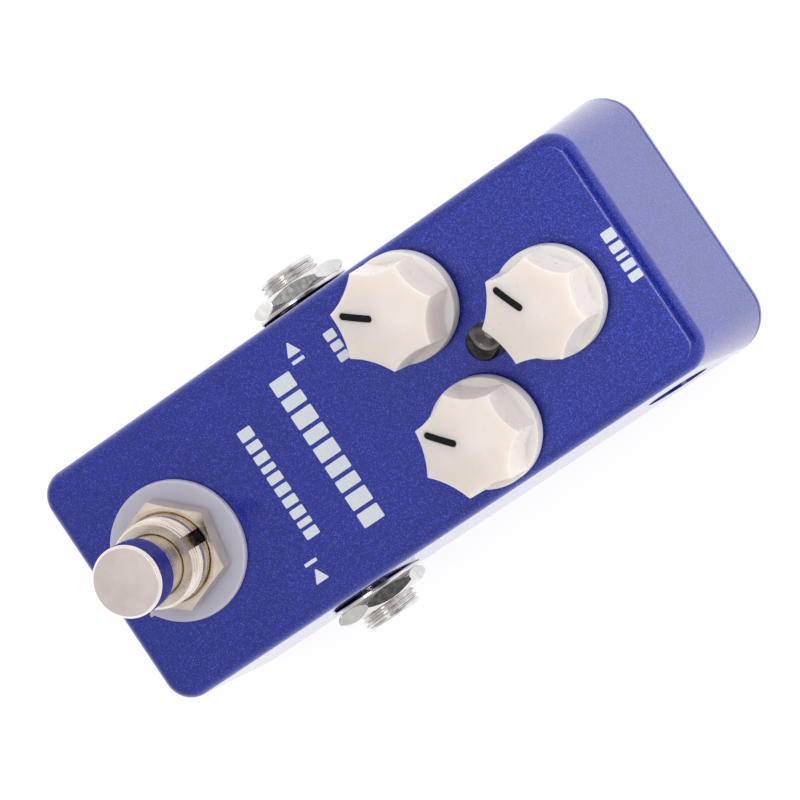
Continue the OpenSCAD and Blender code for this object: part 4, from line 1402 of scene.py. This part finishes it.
def stroke(points, corner_r, rise=0.03):
    """A flat printed shape with round corners on the panel, from its outline."""
    outline = fillet([(x, y, corner_r) for x, y in points], steps=3)
    return loft([[(x, y, z) for x, y in outline] for z in (PANEL_Z, PANEL_Z + rise)])


def bar(x, y, w, h, corner_r=0.18):
    return stroke([(x, y), (x + w, y), (x + w, y + h), (x, y + h)], corner_r)


def row_of_bars(middle_x, y, height, gap, widths):
    """Bars in a line across the panel, in place of a printed word."""
    x = middle_x - (sum(widths) + gap * (len(widths) - 1)) / 2
    bars = []
    for width in widths:
        bars.append(bar(x, y - height / 2, width, height))
        x += width + gap
    return bars


def arrow(x, y, size):
    """A triangle that points along -X."""
    back, tip, half = x + size * 0.4, x - size * 0.5, size / 2
    return stroke([(back, y + half), (tip, y), (back, y - half)], 0.12)


def print_marks():
    """Bars in place of words, and at each jack an arrow with a bar for the way the sound goes."""
    rows = ((0, -6.2, 3.4, 0.62, (2.2, 1.7, 2.2, 1.8, 2.2, 1.8, 1.7, 2.2, 2.1)),
            (0, -14.6, 2.2, 0.5, (1.6, 1.3, 1.3, 0.9, 1.3, 1.3, 1.3, 1.3, 0.9, 1.3)),
            (0.6, 42.6, 1.9, 0.45, (1.5, 1.2, 0.6, 1.2, 1.2)),
            (-10.6, 3.2, 1.7, 0.4, (1.3, 1.2, 1.2)))
    marks = []
    for row in rows:
        marks += row_of_bars(*row)
    size, bar_w, bar_h = 2.2, 0.5, 2.0
    for arrow_x, bar_x, y in ((13.2, 10.9, -17.1), (-13.6, -12.1, -2.5)):
        marks += [arrow(arrow_x, y, size), bar(bar_x, y - bar_h / 2, bar_w, bar_h, 0.1)]
    piece("panel_print", joined(marks), "white_ink", sharp=30)


# ---- what keeps its CAD shape ----

def finish_cad_nodes():
    """Gives every CAD node that still shows its material."""
    for name, obj in frame["nodes"].items():
        obj.data.materials.clear()
        obj.data.materials.append(LOOKS[SLOTS[name]])
        for polygon in obj.data.polygons:
            polygon.use_smooth = True


# ---- stage ----

def camera():
    """The camera looks down on the panel from beyond the knob end, rolled so the pedal lies aslant."""
    place = Vector((11.3, 210.5, 551.0)) * MM
    aim = Vector((0.0, 6.3, PANEL_Z)) * MM
    up = Vector((-0.831, 0.524, -0.187))
    back = (place - aim).normalized()
    right = up.cross(back).normalized()
    data = bpy.data.cameras.new("camera")
    data.sensor_width = 36
    data.lens = 193.7
    data.clip_end = 10
    obj = shown("camera", data)
    turn = Matrix((right, back.cross(right), back)).transposed().to_4x4()
    obj.matrix_world = Matrix.Translation(place) @ turn
    bpy.context.scene.camera = obj


def softbox(name, place, aim, size, watts, seen_in_gloss):
    """An area light that either only lights surfaces or is only seen reflected in them."""
    data = bpy.data.lights.new(name, "AREA")
    data.shape = "RECTANGLE"
    data.size, data.size_y = size
    data.energy = watts
    obj = shown(name, data)
    obj.location = place
    obj.rotation_mode = "QUATERNION"
    obj.rotation_quaternion = (Vector(aim) - Vector(place)).to_track_quat("-Z", "Y")
    obj.visible_glossy = seen_in_gloss
    obj.visible_diffuse = not seen_in_gloss


def sky():
    """A white dome, darker overhead, towards the foot switch end and where dark things reflect."""
    world = bpy.data.worlds.new("studio")
    bpy.context.scene.world = world
    world.use_nodes = True
    nodes = Nodes(world.node_tree)
    direction = nodes.add("TexCoord").outputs["Generated"]
    split = nodes.add("SeparateXYZ", {0: direction})
    ramp = nodes.add("ValToRGB", {"Fac": split.outputs["Z"]})
    stops = ramp.color_ramp.elements
    stops[0].position, stops[0].color = 0.0, (1.05, 1.05, 1.06, 1)
    stops[1].position, stops[1].color = 1.0, (0.74, 0.73, 0.72, 1)

    def step(value, start, end, low_share, high_share):
        return nodes.remap(value, start, end, low_share, high_share, interpolation_type="SMOOTHSTEP")

    # dark things round the camera, seen only in polished metal and gloss: place, sizes and darkness
    strength = 1.0
    for spot, inner, outer, darkest in (((0.0, 0.62, 0.78), 0.18, 0.4, 0.08),
                                        ((0.0, 0.24, 0.97), 0.1, 0.2, 0.3)):
        away = nodes.add("VectorMath", {0: direction, 1: spot}, operation="DISTANCE").outputs["Value"]
        strength = nodes.math("MULTIPLY", strength, step(away, inner, outer, darkest, 1.0))
    strength = nodes.math("MULTIPLY", strength, step(split.outputs["Y"], -0.7, -0.2, 0.7, 0.95))
    background = nodes.tree.nodes["Background"]
    nodes.feed(background.inputs["Strength"], strength)
    nodes.feed(background.inputs["Color"], ramp.outputs["Color"])


def floor():
    """A pale floor that glows a little; seen from below, it lets the underside of the pedal show."""
    extent = 4.0
    corners = [(x * extent, y * extent, 0) for x, y in ((-1, -1), (1, -1), (1, 1), (-1, 1))]
    mesh = bpy.data.meshes.new("floor")
    mesh.from_pydata(corners, [], [(0, 1, 2, 3)])
    obj = shown("floor", mesh)
    look = Look("floor", Roughness=0.9, Specular_IOR_Level=0.0)
    look.set(Base_Color=look.mix(look.noise(60.0), (0.38, 0.38, 0.38), (0.4, 0.4, 0.4)))
    look.set(Emission_Color=(1.0, 1.0, 1.0), Emission_Strength=0.8)
    look.set(Alpha=look.math("SUBTRACT", 1.0, look.add("NewGeometry").outputs["Backfacing"]))
    mesh.materials.append(look.material)


def studio():
    """The dome and the floor, two lights that only light, and one overhead that gloss reflects."""
    sky()
    floor()
    middle = (0, 0, 0.02)
    softbox("key", (-0.08, 0.14, 0.25), middle, (0.15, 0.15), 0.17, False)
    softbox("low_fill", (0.15, 0.5, 0.12), (0, 0.03, 0.04), (0.3, 0.15), 0.45, False)
    softbox("overhead", (0.0, -0.07, 0.8), middle, (0.22, 0.22), 0.55, True)
    bpy.context.scene.view_settings.view_transform = "Standard"


finish_cad_nodes()
case()
bottom_plate()
screws()
feet()
nylon_washer()
lock_washer()
switch_nuts()
bushing()
plunger()
cap()
spring()
housing()
knobs()
shafts()
pot_fasteners()
lamp()
for port_side, port_name, port_y in JACKS:
    jack(port_side, port_name, port_y)
    jack_case(port_side, port_name, port_y)
    jack_contacts(port_side, port_name, port_y)
dc_socket()
dc_pin()
potentiometers()
capacitors()
chips()
chip_legs()
resistors()
terminals()
ribbon_cable()
hookup_wires()
print_marks()
camera()
studio()
